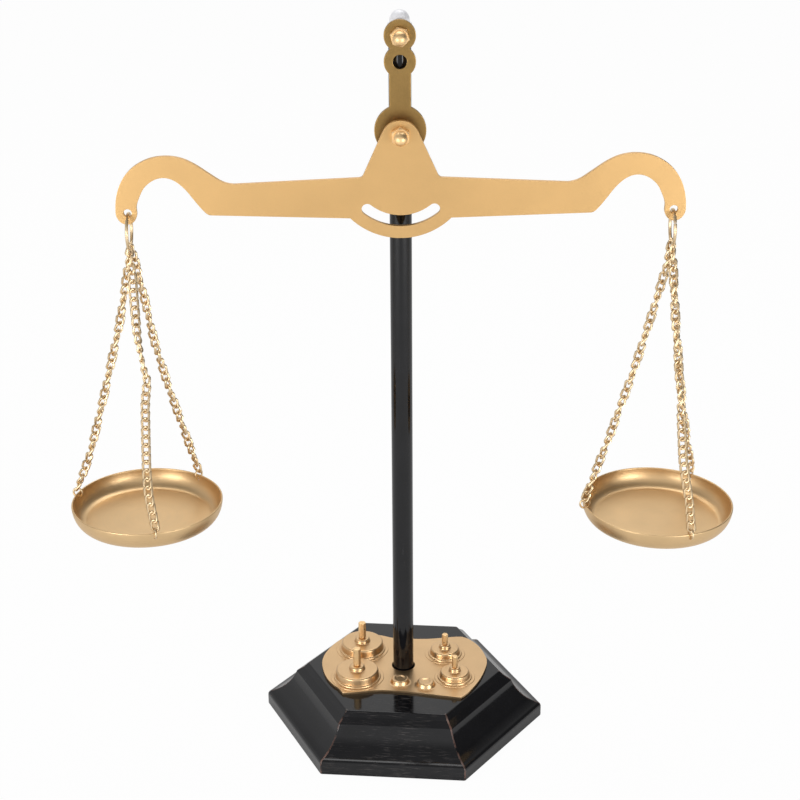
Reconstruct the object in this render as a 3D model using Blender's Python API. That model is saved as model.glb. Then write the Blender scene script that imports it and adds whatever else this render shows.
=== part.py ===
"""A brass balance: a hexagonal block, a post, a hung beam and two pans on chains.

Metres, +Z up. The origin is the centre of the block's underside, on the post's axis. The beam runs
along X, and the front of the balance faces -Y.
"""

import math

import bmesh
import bpy
from mathutils import Matrix, Vector

MM = 0.001
GAP = 0.3 * MM
UP = Vector((0, 0, 1))
TO_FRONT = Matrix.Rotation(math.radians(90), 4, "X")  # carries local +Z to the front, -Y
SIDES = {"left": -1, "right": 1}

# Hexagonal block. Its sizes run from the axis to a corner.
BLOCK_TURN = math.radians(-5.5)
BLOCK_HEIGHT = 23.0 * MM
BLOCK_TOP_CORNER = 44.9 * MM
BLOCK_FOOT_CORNER = 64.5 * MM
BLOCK_EDGE_STEP = (2.2 * MM, 2.2 * MM)
BLOCK_SHELF_STEP = (3.3 * MM, 2.2 * MM)
BLOCK_COVE_DEPTH = 1.9 * MM
BLOCK_SHOULDER = 2.0 * MM
BLOCK_LIP = 5.0 * MM
POST_SOCKET_DEPTH = 13.0 * MM
SCREW_RECESS_RADIUS = 6.5 * MM
SCREW_RECESS_DEPTH = 6.0 * MM

# Pressed plate on the block, with four moulded weights and two buttons
PLATE_THICKNESS = 0.8 * MM
PLATE_HOLE_CLEARANCE = 0.73 * MM  # round the post
BOSS_HEIGHT = 1.9 * MM
KNOB_SPIGOT = 2.0 * MM
# name: (x, y, disc radius, disc height, foot radius, boss radius, knob radius, knob height)
WEIGHTS = {
    "back_left": (-20.6 * MM, 12.8 * MM, 9.7 * MM, 4.3 * MM, 10.7 * MM, 3.5 * MM, 1.8 * MM, 8.0 * MM),
    "front_left": (-20.3 * MM, -12.0 * MM, 9.7 * MM, 4.3 * MM, 10.7 * MM, 3.5 * MM, 1.8 * MM, 8.8 * MM),
    "back_right": (18.6 * MM, 11.3 * MM, 6.6 * MM, 3.4 * MM, 7.8 * MM, 2.6 * MM, 1.45 * MM, 5.3 * MM),
    "front_right": (24.5 * MM, -8.7 * MM, 6.6 * MM, 3.4 * MM, 7.8 * MM, 2.6 * MM, 1.4 * MM, 5.8 * MM),
}
BUTTONS = ((-0.2 * MM, -15.1 * MM), (11.7 * MM, -16.7 * MM))
BUTTON_RADIUS = 3.7 * MM
BUTTON_FOOT = 4.7 * MM
BUTTON_HEIGHT = 2.2 * MM
# Corners of the plate, each followed by the points of the wavy edge that leads to the next corner
PLATE_EDGES = (
    ((-25.3, -26.6), (-17.2, -24.6), (-9.2, -22.7), (-1.6, -22.5), (5.9, -22.8), (13.4, -23.9), (21.0, -25.0)),
    ((28.3, -25.8), (31.6, -21.1), (36.4, -9.0), (38.7, 4.7), (36.9, 13.4), (33.3, 20.8), (28.9, 25.8)),
    ((25.6, 27.6), (21.0, 27.0), (11.3, 24.6), (3.4, 23.8), (-6.4, 23.8), (-12.5, 25.6), (-20.0, 26.8),
     (-27.8, 24.1), (-33.2, 18.6), (-37.1, 9.2), (-38.2, 1.1), (-36.9, -6.8), (-34.2, -14.2), (-30.6, -19.7),
     (-27.9, -22.4)),
)

# Post, its cap and the screw that holds it down
POST_RADIUS = 4.67 * MM
POST_WALL = 0.9 * MM
POST_TOP = 322.1 * MM
CAP_OVERHANG = 0.28 * MM  # of its skirt beyond the post
CAP_STEP = 0.9 * MM  # from its skirt in to its dome
CAP_RIM_HEIGHT = 0.5 * MM
CAP_SKIRT_HEIGHT = 2.1 * MM
CAP_SPIGOT_LENGTH = 6.0 * MM
PLUG_LENGTH = 22.0 * MM
PLUG_BORE_DEPTH = 16.0 * MM
SCREW_REACH = 13.0 * MM
SCREW_HEAD_RADIUS = 3.8 * MM
SCREW_HEAD_HEIGHT = 2.6 * MM
WASHER_RADIUS = 5.5 * MM
WASHER_THICKNESS = 1.0 * MM

# M4 bolts and cap nuts
BOLT_RADIUS = 1.95 * MM
BOLT_HEAD_RADIUS = 3.6 * MM
BOLT_HEAD_HEIGHT = 2.6 * MM
DRIVE_SLOT = (1.0 * MM, 1.1 * MM)
NUT_FLATS = 7.0 * MM
NUT_HEX_HEIGHT = 3.2 * MM
NUT_DOME_RADIUS = 3.15 * MM
NUT_HEIGHT = 8.0 * MM
NUT_BORE_DEPTH = 5.6 * MM
NUT_THREAD_REACH = 5.0 * MM
TOP_NUT_TURN = math.radians(-15)
PIVOT_NUT_TURN = math.radians(30)

# Hanger plate, which lies against the rim of the cap
HANGER_THICKNESS = 2.0 * MM
TOP_BOLT_BELOW_TUBE_TOP = 2.7 * MM
EYE_BELOW_TOP_BOLT = 10.5 * MM
HANGER_HEAD_RADIUS = 6.5 * MM
HANGER_EYE_HOLE = 2.85 * MM
HANGER_STEM_HALF = 4.35 * MM
HANGER_DISC_RADIUS = 10.65 * MM
SPACER_RADIUS = 3.5 * MM
SPACER_LENGTH = 4.9 * MM

# Beam. Heights are measured from its pivot.
PIVOT_BELOW_TOP_BOLT = 38.7 * MM
BEAM_THICKNESS = 2.0 * MM
HALF_SPAN = 112.1 * MM
HOOK_DROP = 31.8 * MM
HOOK_HOLE_RADIUS = 1.72 * MM
APEX_RADIUS = 7.9 * MM
APEX_RISE = 6.1 * MM
NECK_HALF = 15.75 * MM
NECK_DROP = 17.6 * MM
NECK_FILLET = 2.0 * MM
BULGE_RADIUS = 29.4 * MM
BULGE_DROP = 43.3 * MM
BULGE_HALF = 20.8 * MM
SLOT_RADIUS = 21.9 * MM
SLOT_HALF_WIDTH = 2.35 * MM
SLOT_HALF_ANGLE = math.radians(39)
# The ends of the arm's straight edges, and the swan neck from the top one round its tip to the foot one,
# measured from the hook's hole
ARM_TOP_END = (-43.9, 11.8)
ARM_FOOT_END = (-35.2, -1.2)
ARM_LEAD = 4.0 * MM  # of each straight edge that steers the curve where it joins
HOOK_POINTS = (
    (-39.4, 12.9), (-34.2, 16.3), (-28.4, 20.3), (-22.8, 22.9), (-16.4, 23.8), (-9.6, 22.7), (-3.0, 19.1),
    (1.7, 13.6), (4.2, 7.0), (4.9, 0.4), (4.2, -2.4), (2.3, -4.4), (-0.3, -4.8), (-2.7, -3.4), (-3.8, -0.8),
    (-3.8, 2.7), (-5.2, 6.6), (-7.6, 10.9), (-11.7, 14.0), (-16.0, 14.8), (-20.1, 13.4), (-24.1, 9.9),
    (-27.5, 5.4), (-30.6, 1.4), (-32.9, -0.8),
)

# Split rings at the beam's ends
RING_RADIUS = 7.2 * MM
RING_WIRE = 0.7 * MM
RING_CUT = 0.35 * MM
RING_CUT_ANGLES = {"left": math.radians(150), "right": math.radians(30)}  # up from the front

# Pans, their chains and the small rings in their rims
PAN_DROPS = {"left": 123.4 * MM, "right": 125.6 * MM}  # of each rim below its split ring's centre
PAN_RADIUS = 33.0 * MM
PAN_DEPTH = 9.0 * MM
PAN_WALL = 0.8 * MM
PAN_SIDE = 6.2 * MM  # width of its curved side
PAN_LEANS = {"left": (0.0, 0.0), "right": (math.radians(1.2), math.radians(1))}  # to the right and the front
# Where each chain is fixed round its pan: from the front towards the right
CHAIN_FEET = {
    "left": (math.radians(13), math.radians(142), math.radians(256)),
    "right": (math.radians(18), math.radians(145), math.radians(277)),
}
CHAIN_FANS = (math.radians(-13), math.radians(13), 0.0)  # where each chain sits round the split ring's foot
LINK_WIRE = 0.45 * MM
JUMP_RING_RADIUS = 2.1 * MM
CHAIN_END_RADIUS = 1.2 * MM
CHAIN_BAR_RADIUS = 1.25 * MM
CHAIN_TAPER = 12.0 * MM


def shade(name, color, metallic, roughness):
    """One sub-part's own Principled material."""
    material = bpy.data.materials.new(name)
    material.use_nodes = True
    surface = material.node_tree.nodes["Principled BSDF"]
    surface.inputs["Base Color"].default_value = (*color, 1)
    surface.inputs["Metallic"].default_value = metallic
    surface.inputs["Roughness"].default_value = roughness
    return material


def brass(name):
    return shade(name, (0.72, 0.45, 0.19), 1, 0.35)


def bronze(name):
    return shade(name, (0.31, 0.19, 0.065), 1, 0.4)


def steel(name):
    return shade(name, (0.55, 0.55, 0.56), 1, 0.35)


def chrome(name):
    return shade(name, (0.8, 0.8, 0.82), 1, 0.12)


def lacquer(name):
    return shade(name, (0.012, 0.012, 0.014), 0, 0.15)


def add(name, bm, material=None, parent=None, place=None):
    """Turns a bmesh into a named object. Without a material it is a helper that isn't rendered."""
    bmesh.ops.remove_doubles(bm, verts=bm.verts[:], dist=0.001 * MM)
    bmesh.ops.recalc_face_normals(bm, faces=bm.faces[:])
    mesh = bpy.data.meshes.new(name)
    bm.to_mesh(mesh)
    bm.free()
    mesh.shade_smooth()
    mesh.set_sharp_from_angle(angle=math.radians(35))
    obj = bpy.data.objects.new(name, mesh)
    bpy.context.scene.collection.objects.link(obj)
    obj.parent = parent
    obj.matrix_local = place or Matrix.Identity(4)
    if material:
        mesh.materials.append(material)
    else:
        obj.hide_render = True
        obj.display_type = "WIRE"
    return obj


def combine(target, other, operation):
    modifier = target.modifiers.new(other.name, "BOOLEAN")
    modifier.operation = operation
    modifier.object = other


def cut(target, cutter):
    combine(target, cutter, "DIFFERENCE")


def unite(target, other):
    combine(target, other, "UNION")


def joint_empty(name, place, parent=None):
    empty = bpy.data.objects.new(name, None)
    empty.empty_display_size = 10 * MM
    bpy.context.scene.collection.objects.link(empty)
    empty.parent = parent
    empty.location = place
    return empty


def arc(centre, radius, start, end, steps):
    """Points from one angle to another, both ends included. Angles are in radians."""
    angles = [start + (end - start) * i / steps for i in range(steps + 1)]
    return [(centre[0] + radius * math.cos(a), centre[1] + radius * math.sin(a)) for a in angles]


def bowed(start, end, depth, steps):
    """Points on the arc from start to end that passes depth to the left of their chord."""
    start, end = Vector(start), Vector(end)
    chord = end - start
    left = Vector((-chord.y, chord.x)).normalized()
    radius = (chord.length_squared / 4 + depth * depth) / (2 * depth)
    centre = (start + end) / 2 + left * (depth - radius)
    spread = math.asin(chord.length / (2 * radius))
    middle = math.atan2(left.y, left.x)
    return arc(centre, radius, middle + spread, middle - spread, steps)


def curved(points, steps):
    """A Catmull-Rom curve through the points, from the second to the last but one."""
    found = []
    for a, b, c, d in zip(points, points[1:], points[2:], points[3:]):
        a, b, c, d = Vector(a), Vector(b), Vector(c), Vector(d)
        for i in range(steps):
            t = i / steps
            found.append(
                0.5 * (2 * b + (c - a) * t + (2 * a - 5 * b + 4 * c - d) * t**2 + (3 * b - a - 3 * c + d) * t**3)
            )
    return [tuple(p) for p in found]


def towards(start, end, distance):
    """The point that far from the start on the way to the end."""
    return tuple(Vector(start) + (Vector(end) - Vector(start)).normalized() * distance)


def filleted(before, corner, after, radius, steps):
    """The arc that rounds a corner between two straight edges."""
    corner = Vector(corner)
    back, on = (Vector(before) - corner).normalized(), (Vector(after) - corner).normalized()
    half = back.angle(on) / 2
    centre = corner + (back + on).normalized() * radius / math.sin(half)
    ends = [corner + way * radius / math.tan(half) - centre for way in (back, on)]
    start, end = (math.atan2(e.y, e.x) for e in ends)
    turn = (end - start + math.pi) % math.tau - math.pi
    return arc(centre, radius, start, start + turn, steps)


def mirrored(half):
    """A closed outline from its right half, which runs from the top down to the bottom."""
    return half + [(-x, y) for x, y in reversed(half) if x > GAP / 10]


def turned(profile, segments):
    """A profile of (radius, height) points spun round Z. It closes on itself or on the axis."""
    bm = bmesh.new()
    points = [bm.verts.new((r, 0, z)) for r, z in profile]
    edges = [bm.edges.new(pair) for pair in zip(points, points[1:])]
    if profile[0][0] > 0:
        edges.append(bm.edges.new((points[-1], points[0])))
    bmesh.ops.spin(
        bm, geom=points + edges, cent=(0, 0, 0), axis=UP, angle=math.tau, steps=segments, use_merge=True
    )
    return bm


def rod(radius, low, high, segments=24):
    return turned([(0, low), (radius, low), (radius, high), (0, high)], segments)


def tube(outer, inner, low, high, segments=28):
    return turned([(outer, low), (outer, high), (inner, high), (inner, low)], segments)


def torus(radius, wire, segments, sides):
    return turned(arc((radius, 0), wire, 0, math.tau, sides)[:-1], segments)


def slab(outline, low, high):
    """A flat outline in XY made solid from one height to another."""
    bm = bmesh.new()
    face = bm.faces.new([bm.verts.new((x, y, low)) for x, y in outline])
    raised = bmesh.ops.extrude_face_region(bm, geom=[face])["geom"]
    tops = [v for v in raised if isinstance(v, bmesh.types.BMVert)]
    bmesh.ops.translate(bm, verts=tops, vec=(0, 0, high - low))
    bmesh.ops.triangulate(bm, faces=bm.faces[:])
    return bm


def box(size, place):
    bm = bmesh.new()
    bmesh.ops.create_cube(bm, size=1, matrix=place @ Matrix.Diagonal((*size, 1)))
    return bm


def block_profile():
    """From the centre of the top face, over the moulding and down to the centre of the underside."""
    edge = (BLOCK_TOP_CORNER + BLOCK_EDGE_STEP[0], BLOCK_HEIGHT - BLOCK_EDGE_STEP[1])
    shelf = (edge[0] + BLOCK_SHELF_STEP[0], edge[1] - BLOCK_SHELF_STEP[1])
    shoulder = (BLOCK_FOOT_CORNER - BLOCK_SHOULDER, BLOCK_LIP)
    rounded = arc(shoulder, BLOCK_SHOULDER, math.radians(90), 0, 4)
    cove = bowed(shelf, rounded[0], -BLOCK_COVE_DEPTH, 8)
    lip = [(BLOCK_FOOT_CORNER, 0), (0, 0)]
    return [(0, BLOCK_HEIGHT), (BLOCK_TOP_CORNER, BLOCK_HEIGHT), edge] + cove + rounded[1:] + lip


def build_block():
    """The lacquered block, bored for the post from above and for its screw from below."""
    block = add("base_block", turned(block_profile(), 6), lacquer("block_lacquer"))
    block.rotation_euler.z = BLOCK_TURN
    floor = BLOCK_HEIGHT - POST_SOCKET_DEPTH
    bore = (
        (0, -1 * MM),
        (SCREW_RECESS_RADIUS, -1 * MM),
        (SCREW_RECESS_RADIUS, SCREW_RECESS_DEPTH),
        (BOLT_RADIUS + 2 * GAP, SCREW_RECESS_DEPTH),
        (BOLT_RADIUS + 2 * GAP, floor),
        (POST_RADIUS + GAP, floor),
        (POST_RADIUS + GAP, BLOCK_HEIGHT + 1 * MM),
        (0, BLOCK_HEIGHT + 1 * MM),
    )
    cut(block, add("block_bore", turned(bore, 28)))


def plate_outline():
    """The wavy edge between three sharp corners, each stretch a curve of its own."""
    outline = []
    for i, edge in enumerate(PLATE_EDGES):
        after = PLATE_EDGES[(i + 1) % len(PLATE_EDGES)][0]
        points = [(x * MM, y * MM) for x, y in (edge[0], *edge, after, after)]
        outline += curved(points, 3)
    return outline


def ring(bm, points, height):
    return [bm.verts.new((x, y, height)) for x, y in points]


def around(points):
    """Each point with the next one, back to the first."""
    return zip(points, points[1:] + points[:1])


def wall(bm, low, high):
    for (a, b), (d, c) in zip(around(low), around(high)):
        bm.faces.new((a, b, c, d))


def fill(bm, rings):
    """Fills the flat region inside the first ring and outside the others."""
    pairs = [pair for points in rings for pair in around(points)]
    edges = [bm.edges.get(pair) or bm.edges.new(pair) for pair in pairs]
    bmesh.ops.triangle_fill(bm, edges=edges, use_beauty=True)


def stepped(bm, x, y, profile, segments=24):
    """Rings of those (radius, height) steps round one centre, walled together. Returns the first ring."""
    circle = [arc((x, y), radius, 0, math.tau, segments)[:-1] for radius, _ in profile]
    rings = [ring(bm, points, height) for points, (_, height) in zip(circle, profile)]
    for low, high in zip(rings, rings[1:]):
        wall(bm, low, high)
    bm.faces.new(rings[-1])
    return rings[0]


def raised(foot, radius, height, top):
    """The steps of a round raised shape with a sloping foot on the plate's top."""
    return [(foot, top), (radius, top + foot - radius), (radius, top + height)]


def build_plate():
    """The pressed plate with its weights and buttons in one sheet, and the four loose knobs."""
    low = BLOCK_HEIGHT + GAP
    top = low + PLATE_THICKNESS
    turn = Matrix.Rotation(BLOCK_TURN, 4, "Z")
    bm = bmesh.new()
    outline = plate_outline()
    hole = arc((0, 0), POST_RADIUS + PLATE_HOLE_CLEARANCE, 0, math.tau, 24)[:-1]
    (low_edge, top_edge), (low_hole, top_hole) = (
        [ring(bm, points, height) for height in (low, top)] for points in (outline, hole)
    )
    wall(bm, low_edge, top_edge)
    wall(bm, low_hole, top_hole)
    feet = [stepped(bm, x, y, raised(BUTTON_FOOT, BUTTON_RADIUS, BUTTON_HEIGHT, top)) for x, y in BUTTONS]
    for name, (x, y, radius, rise, foot, boss, knob, height) in WEIGHTS.items():
        disc = top + rise
        seat = disc + BOSS_HEIGHT
        spigot = knob - 2 * GAP
        socket = [(spigot + GAP, seat), (spigot + GAP, seat - KNOB_SPIGOT - GAP)]
        profile = raised(foot, radius, rise, top) + [(boss, disc), (boss, seat)] + socket
        feet.append(stepped(bm, x, y, profile))
        profile = (
            (0, seat - KNOB_SPIGOT),
            (spigot, seat - KNOB_SPIGOT),
            (spigot, seat + GAP),
            (knob, seat + GAP),
            (knob, seat + height),
            (0, seat + height),
        )
        centre = turn @ Matrix.Translation((x, y, 0))
        add(f"weight_knob_{name}", turned(profile, 6), brass(f"knob_brass_{name}"), place=centre)
    fill(bm, [low_edge, low_hole])
    fill(bm, [top_edge, top_hole, *feet])
    add("weights_plate", bm, brass("plate_brass"), place=turn)


def top_bolt_height():
    return POST_TOP - TOP_BOLT_BELOW_TUBE_TOP


def pivot_height():
    return top_bolt_height() - PIVOT_BELOW_TOP_BOLT


def build_post():
    """The black tube, its plug and the screw and washer that hold it in the block."""
    foot = BLOCK_HEIGHT - POST_SOCKET_DEPTH + GAP
    inner = POST_RADIUS - POST_WALL
    post = add("post_tube", tube(POST_RADIUS, inner, foot, POST_TOP), lacquer("post_lacquer"))
    for name, height in (("top", top_bolt_height()), ("pivot", pivot_height())):
        place = Matrix.Translation((0, 0, height)) @ TO_FRONT
        cut(post, add(f"post_{name}_hole", rod(BOLT_RADIUS + GAP, -2 * POST_RADIUS, 2 * POST_RADIUS), place=place))

    plug = add("post_plug", rod(inner - GAP, foot, foot + PLUG_LENGTH), steel("plug_steel"))
    cut(plug, add("plug_bore", rod(BOLT_RADIUS + GAP, foot - MM, foot + PLUG_BORE_DEPTH)))

    seat = SCREW_RECESS_DEPTH - GAP
    washer = tube(WASHER_RADIUS, BOLT_RADIUS + GAP, seat - WASHER_THICKNESS, seat)
    add("post_washer", washer, steel("washer_steel"))
    neck = seat - WASHER_THICKNESS - GAP
    screw = (
        (0, neck - SCREW_HEAD_HEIGHT),
        (SCREW_HEAD_RADIUS, neck - SCREW_HEAD_HEIGHT),
        (SCREW_HEAD_RADIUS, neck),
        (BOLT_RADIUS, neck),
        (BOLT_RADIUS, foot + SCREW_REACH),
        (0, foot + SCREW_REACH),
    )
    screw = add("post_screw", turned(screw, 24), steel("screw_steel"))
    add_drive_slot(screw, neck - SCREW_HEAD_HEIGHT, SCREW_HEAD_RADIUS)


def add_drive_slot(screw, face, radius):
    """The screwdriver slot across a head whose outer face is at that height on the screw's own axis."""
    width, depth = DRIVE_SLOT
    size = (3 * radius, width, 2 * depth)
    slot = add(f"{screw.name}_slot", box(size, Matrix.Translation((0, 0, face))), place=screw.matrix_local)
    cut(screw, slot)


def build_cap():
    """The domed cap, whose spigot is pinned inside the tube by the top bolt."""
    rim = POST_TOP + GAP
    skirt = rim + CAP_SKIRT_HEIGHT
    skirt_radius = POST_RADIUS + CAP_OVERHANG
    dome_radius = skirt_radius - CAP_STEP
    spigot = POST_RADIUS - POST_WALL - GAP
    profile = [
        (0, rim - CAP_SPIGOT_LENGTH),
        (spigot, rim - CAP_SPIGOT_LENGTH),
        (spigot, rim),
        (skirt_radius, rim),
        (skirt_radius, rim + CAP_RIM_HEIGHT),
    ]
    dome = arc((0, skirt), dome_radius, 0, math.radians(90), 6)
    dome[-1] = (0, skirt + dome_radius)
    cap = add("post_cap", turned(profile + dome, 28), chrome("cap_chrome"))
    place = Matrix.Translation((0, 0, top_bolt_height())) @ TO_FRONT
    cut(cap, add("cap_hole", rod(BOLT_RADIUS + GAP, -2 * POST_RADIUS, 2 * POST_RADIUS), place=place))


def hanger_outline():
    """Two round heads, a stem and a disc, measured from the pivot."""
    top = PIVOT_BELOW_TOP_BOLT
    eye = top - EYE_BELOW_TOP_BOLT
    waist = math.acos(EYE_BELOW_TOP_BOLT / 2 / HANGER_HEAD_RADIUS)
    shoulder = math.acos(HANGER_STEM_HALF / HANGER_HEAD_RADIUS)
    hip = math.acos(HANGER_STEM_HALF / HANGER_DISC_RADIUS)
    quarter = math.radians(90)
    half = arc((0, top), HANGER_HEAD_RADIUS, quarter, waist - quarter, 12)
    half += arc((0, eye), HANGER_HEAD_RADIUS, quarter - waist, -shoulder, 10)[1:]
    half += arc((0, 0), HANGER_DISC_RADIUS, hip, -quarter, 16)
    return mirrored(half)


def front_plate(name, outline, back, thickness, material, parent=None, height=0.0):
    """A flat plate that stands in XZ, its back face at that distance in front of its parent."""
    place = Matrix.Translation((0, 0, height)) @ TO_FRONT
    return add(name, slab(outline, back, back + thickness), material, parent, place)


def cap_nut(name, seat, turn, height):
    """A domed nut screwed on from the front, its hexagon turned by that angle."""
    corner = NUT_FLATS / math.sqrt(3)
    place = Matrix.Translation((0, 0, height)) @ TO_FRONT
    hexagon = rod(corner, seat, seat + NUT_HEX_HEIGHT, 6)
    nut = add(name, hexagon, brass(f"{name}_brass"), place=place @ Matrix.Rotation(turn, 4, "Z"))
    base = seat + NUT_HEX_HEIGHT - GAP
    spring = seat + NUT_HEIGHT - NUT_DOME_RADIUS
    dome = arc((0, spring), NUT_DOME_RADIUS, 0, math.radians(90), 5)
    dome[-1] = (0, seat + NUT_HEIGHT)
    unite(nut, add(f"{name}_dome", turned([(0, base), (NUT_DOME_RADIUS, base)] + dome, 24), place=place))
    cut(nut, add(f"{name}_bore", rod(BOLT_RADIUS + GAP, seat - MM, seat + NUT_BORE_DEPTH), place=place))


def cross_bolt(name, seat, height):
    """A bolt from the back of the post into its cap nut."""
    head = POST_RADIUS + GAP
    profile = (
        (0, -head - BOLT_HEAD_HEIGHT),
        (BOLT_HEAD_RADIUS - GAP, -head - BOLT_HEAD_HEIGHT),
        (BOLT_HEAD_RADIUS, -head - BOLT_HEAD_HEIGHT + 2 * GAP),
        (BOLT_HEAD_RADIUS, -head),
        (BOLT_RADIUS, -head),
        (BOLT_RADIUS, seat + NUT_THREAD_REACH),
        (0, seat + NUT_THREAD_REACH),
    )
    place = Matrix.Translation((0, 0, height)) @ TO_FRONT
    bolt = add(name, turned(profile, 24), steel(f"{name}_steel"), place=place)
    add_drive_slot(bolt, -head - BOLT_HEAD_HEIGHT, BOLT_HEAD_RADIUS)


def hanger_back():
    """How far in front of the post's axis the hanger's back face lies, clear of the cap's skirt."""
    return POST_RADIUS + CAP_OVERHANG + GAP


def build_hanger():
    """The bronze hanger plate, its two bolts and nuts, and the spacer behind the beam."""
    back = hanger_back()
    face = back + HANGER_THICKNESS
    hanger = front_plate(
        "hanger_plate", hanger_outline(), back, HANGER_THICKNESS, bronze("hanger_bronze"), height=pivot_height()
    )
    holes = (
        ("top", top_bolt_height(), BOLT_RADIUS + GAP),
        ("eye", top_bolt_height() - EYE_BELOW_TOP_BOLT, HANGER_EYE_HOLE),
        ("pivot", pivot_height(), BOLT_RADIUS + GAP),
    )
    for name, height, radius in holes:
        place = Matrix.Translation((0, 0, height)) @ TO_FRONT
        cut(hanger, add(f"hanger_{name}_hole", rod(radius, 0, 2 * face), place=place))
    top_seat = face + GAP
    cross_bolt("top_bolt", top_seat, top_bolt_height())
    cap_nut("top_cap_nut", top_seat, TOP_NUT_TURN, top_bolt_height())
    place = Matrix.Translation((0, 0, pivot_height())) @ TO_FRONT
    spacer = tube(SPACER_RADIUS, BOLT_RADIUS + GAP, face + GAP, face + GAP + SPACER_LENGTH)
    add("pivot_spacer", spacer, brass("spacer_brass"), place=place)
    pivot_seat = beam_back() + BEAM_THICKNESS + GAP
    cross_bolt("pivot_bolt", pivot_seat, pivot_height())
    cap_nut("pivot_cap_nut", pivot_seat, PIVOT_NUT_TURN, pivot_height())


def beam_back():
    """How far in front of the post's axis the beam's back face lies."""
    return hanger_back() + HANGER_THICKNESS + SPACER_LENGTH + 2 * GAP


def beam_outline():
    """The apex, arm, swan neck and bulge of the right half, mirrored to the left."""
    apex = (0, APEX_RISE - APEX_RADIUS)
    neck = (NECK_HALF, -NECK_DROP)
    arm_top, arm_foot, *hook = (
        (HALF_SPAN + x * MM, y * MM - HOOK_DROP) for x, y in (ARM_TOP_END, ARM_FOOT_END, *HOOK_POINTS)
    )
    reach = Vector(neck) - Vector(apex)
    tangent = math.atan2(reach.y, reach.x) + math.acos(APEX_RADIUS / reach.length)
    half = arc(apex, APEX_RADIUS, math.radians(90), tangent, 10)
    half += filleted(half[-1], neck, arm_top, NECK_FILLET, 4)
    lead_in = towards(arm_top, neck, ARM_LEAD)
    lead_out = towards(arm_foot, (BULGE_HALF, arm_foot[1]), ARM_LEAD)
    half += curved([lead_in, arm_top, *hook, arm_foot, lead_out], 3)
    half.append(arm_foot)
    bulge = (0, BULGE_RADIUS - BULGE_DROP)
    half += arc(bulge, BULGE_RADIUS, -math.acos(BULGE_HALF / BULGE_RADIUS), -math.radians(90), 12)
    return mirrored(half)


def slot_outline():
    """The curved slot above the beam's bulge."""
    centre = (0, BULGE_RADIUS - BULGE_DROP)
    low, high = -math.radians(90) - SLOT_HALF_ANGLE, -math.radians(90) + SLOT_HALF_ANGLE
    ends = [arc(centre, SLOT_RADIUS, angle, angle, 1)[0] for angle in (low, high)]
    outline = arc(centre, SLOT_RADIUS + SLOT_HALF_WIDTH, low, high, 16)
    outline += arc(ends[1], SLOT_HALF_WIDTH, high, high + math.pi, 8)[1:-1]
    outline += arc(centre, SLOT_RADIUS - SLOT_HALF_WIDTH, high, low, 16)
    outline += arc(ends[0], SLOT_HALF_WIDTH, low + math.pi, low + math.tau, 8)[1:-1]
    return outline


def build_beam():
    """The flat beam on its pivot, drilled at the pivot and at each hook."""
    middle = beam_back() + BEAM_THICKNESS / 2
    pivot = joint_empty("beam_pivot", (0, -middle, pivot_height()))
    half = BEAM_THICKNESS / 2
    beam = front_plate("balance_beam", beam_outline(), -half, BEAM_THICKNESS, brass("beam_brass"), pivot)
    cutters = [("pivot", 0, 0, BOLT_RADIUS + GAP)]
    cutters += [(side, sign * HALF_SPAN, -HOOK_DROP, HOOK_HOLE_RADIUS) for side, sign in SIDES.items()]
    for name, x, z, radius in cutters:
        place = Matrix.Translation((x, 0, z)) @ TO_FRONT
        cut(beam, add(f"beam_{name}_hole", rod(radius, -MM - half, MM + half, 24), None, pivot, place))
    cut(beam, add("beam_slot", slab(slot_outline(), -MM - half, MM + half), None, pivot, TO_FRONT))
    return pivot


def build_ring(side, pivot):
    """The split ring through a hook's hole. Its origin is where the wire bears in the hole."""
    bearing = HOOK_DROP + HOOK_HOLE_RADIUS - GAP - RING_WIRE
    hinge = joint_empty(f"ring_hinge_{side}", (SIDES[side] * HALF_SPAN, 0, -bearing), pivot)
    facing = Matrix.Rotation(math.radians(90), 4, "Y")
    place = Matrix.Translation((0, 0, -RING_RADIUS)) @ facing
    ring = add(f"split_ring_{side}", torus(RING_RADIUS, RING_WIRE, 30, 8), brass(f"ring_brass_{side}"), hinge, place)
    spoke = Matrix.Translation((0, 0, -RING_RADIUS)) @ Matrix.Rotation(-RING_CUT_ANGLES[side], 4, "X")
    wide = 4 * RING_WIRE
    gap = box((wide, wide, RING_CUT), Matrix.Translation((0, -RING_RADIUS, 0)))
    cut(ring, add(f"ring_cut_{side}", gap, None, hinge, spoke))
    return hinge


def pan_profile():
    """The inside of the pan from its centre to the rim, then the outside back to the centre."""
    floor_radius = PAN_RADIUS - PAN_SIDE
    side = arc((0, 0), 1, -math.radians(90), 0, 5)
    outside = [(floor_radius + r * PAN_SIDE, z * PAN_DEPTH) for r, z in side]
    inside = [(floor_radius + r * (PAN_SIDE - PAN_WALL), z * (PAN_DEPTH - PAN_WALL)) for r, z in side]
    return [(0, PAN_WALL - PAN_DEPTH)] + inside + outside[::-1] + [(0, -PAN_DEPTH)]


def aligned(start, end):
    """A placement at start whose +Z points at end."""
    way = (end - start).normalized()
    return Matrix.Translation(start) @ UP.rotation_difference(way).to_matrix().to_4x4()


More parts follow.
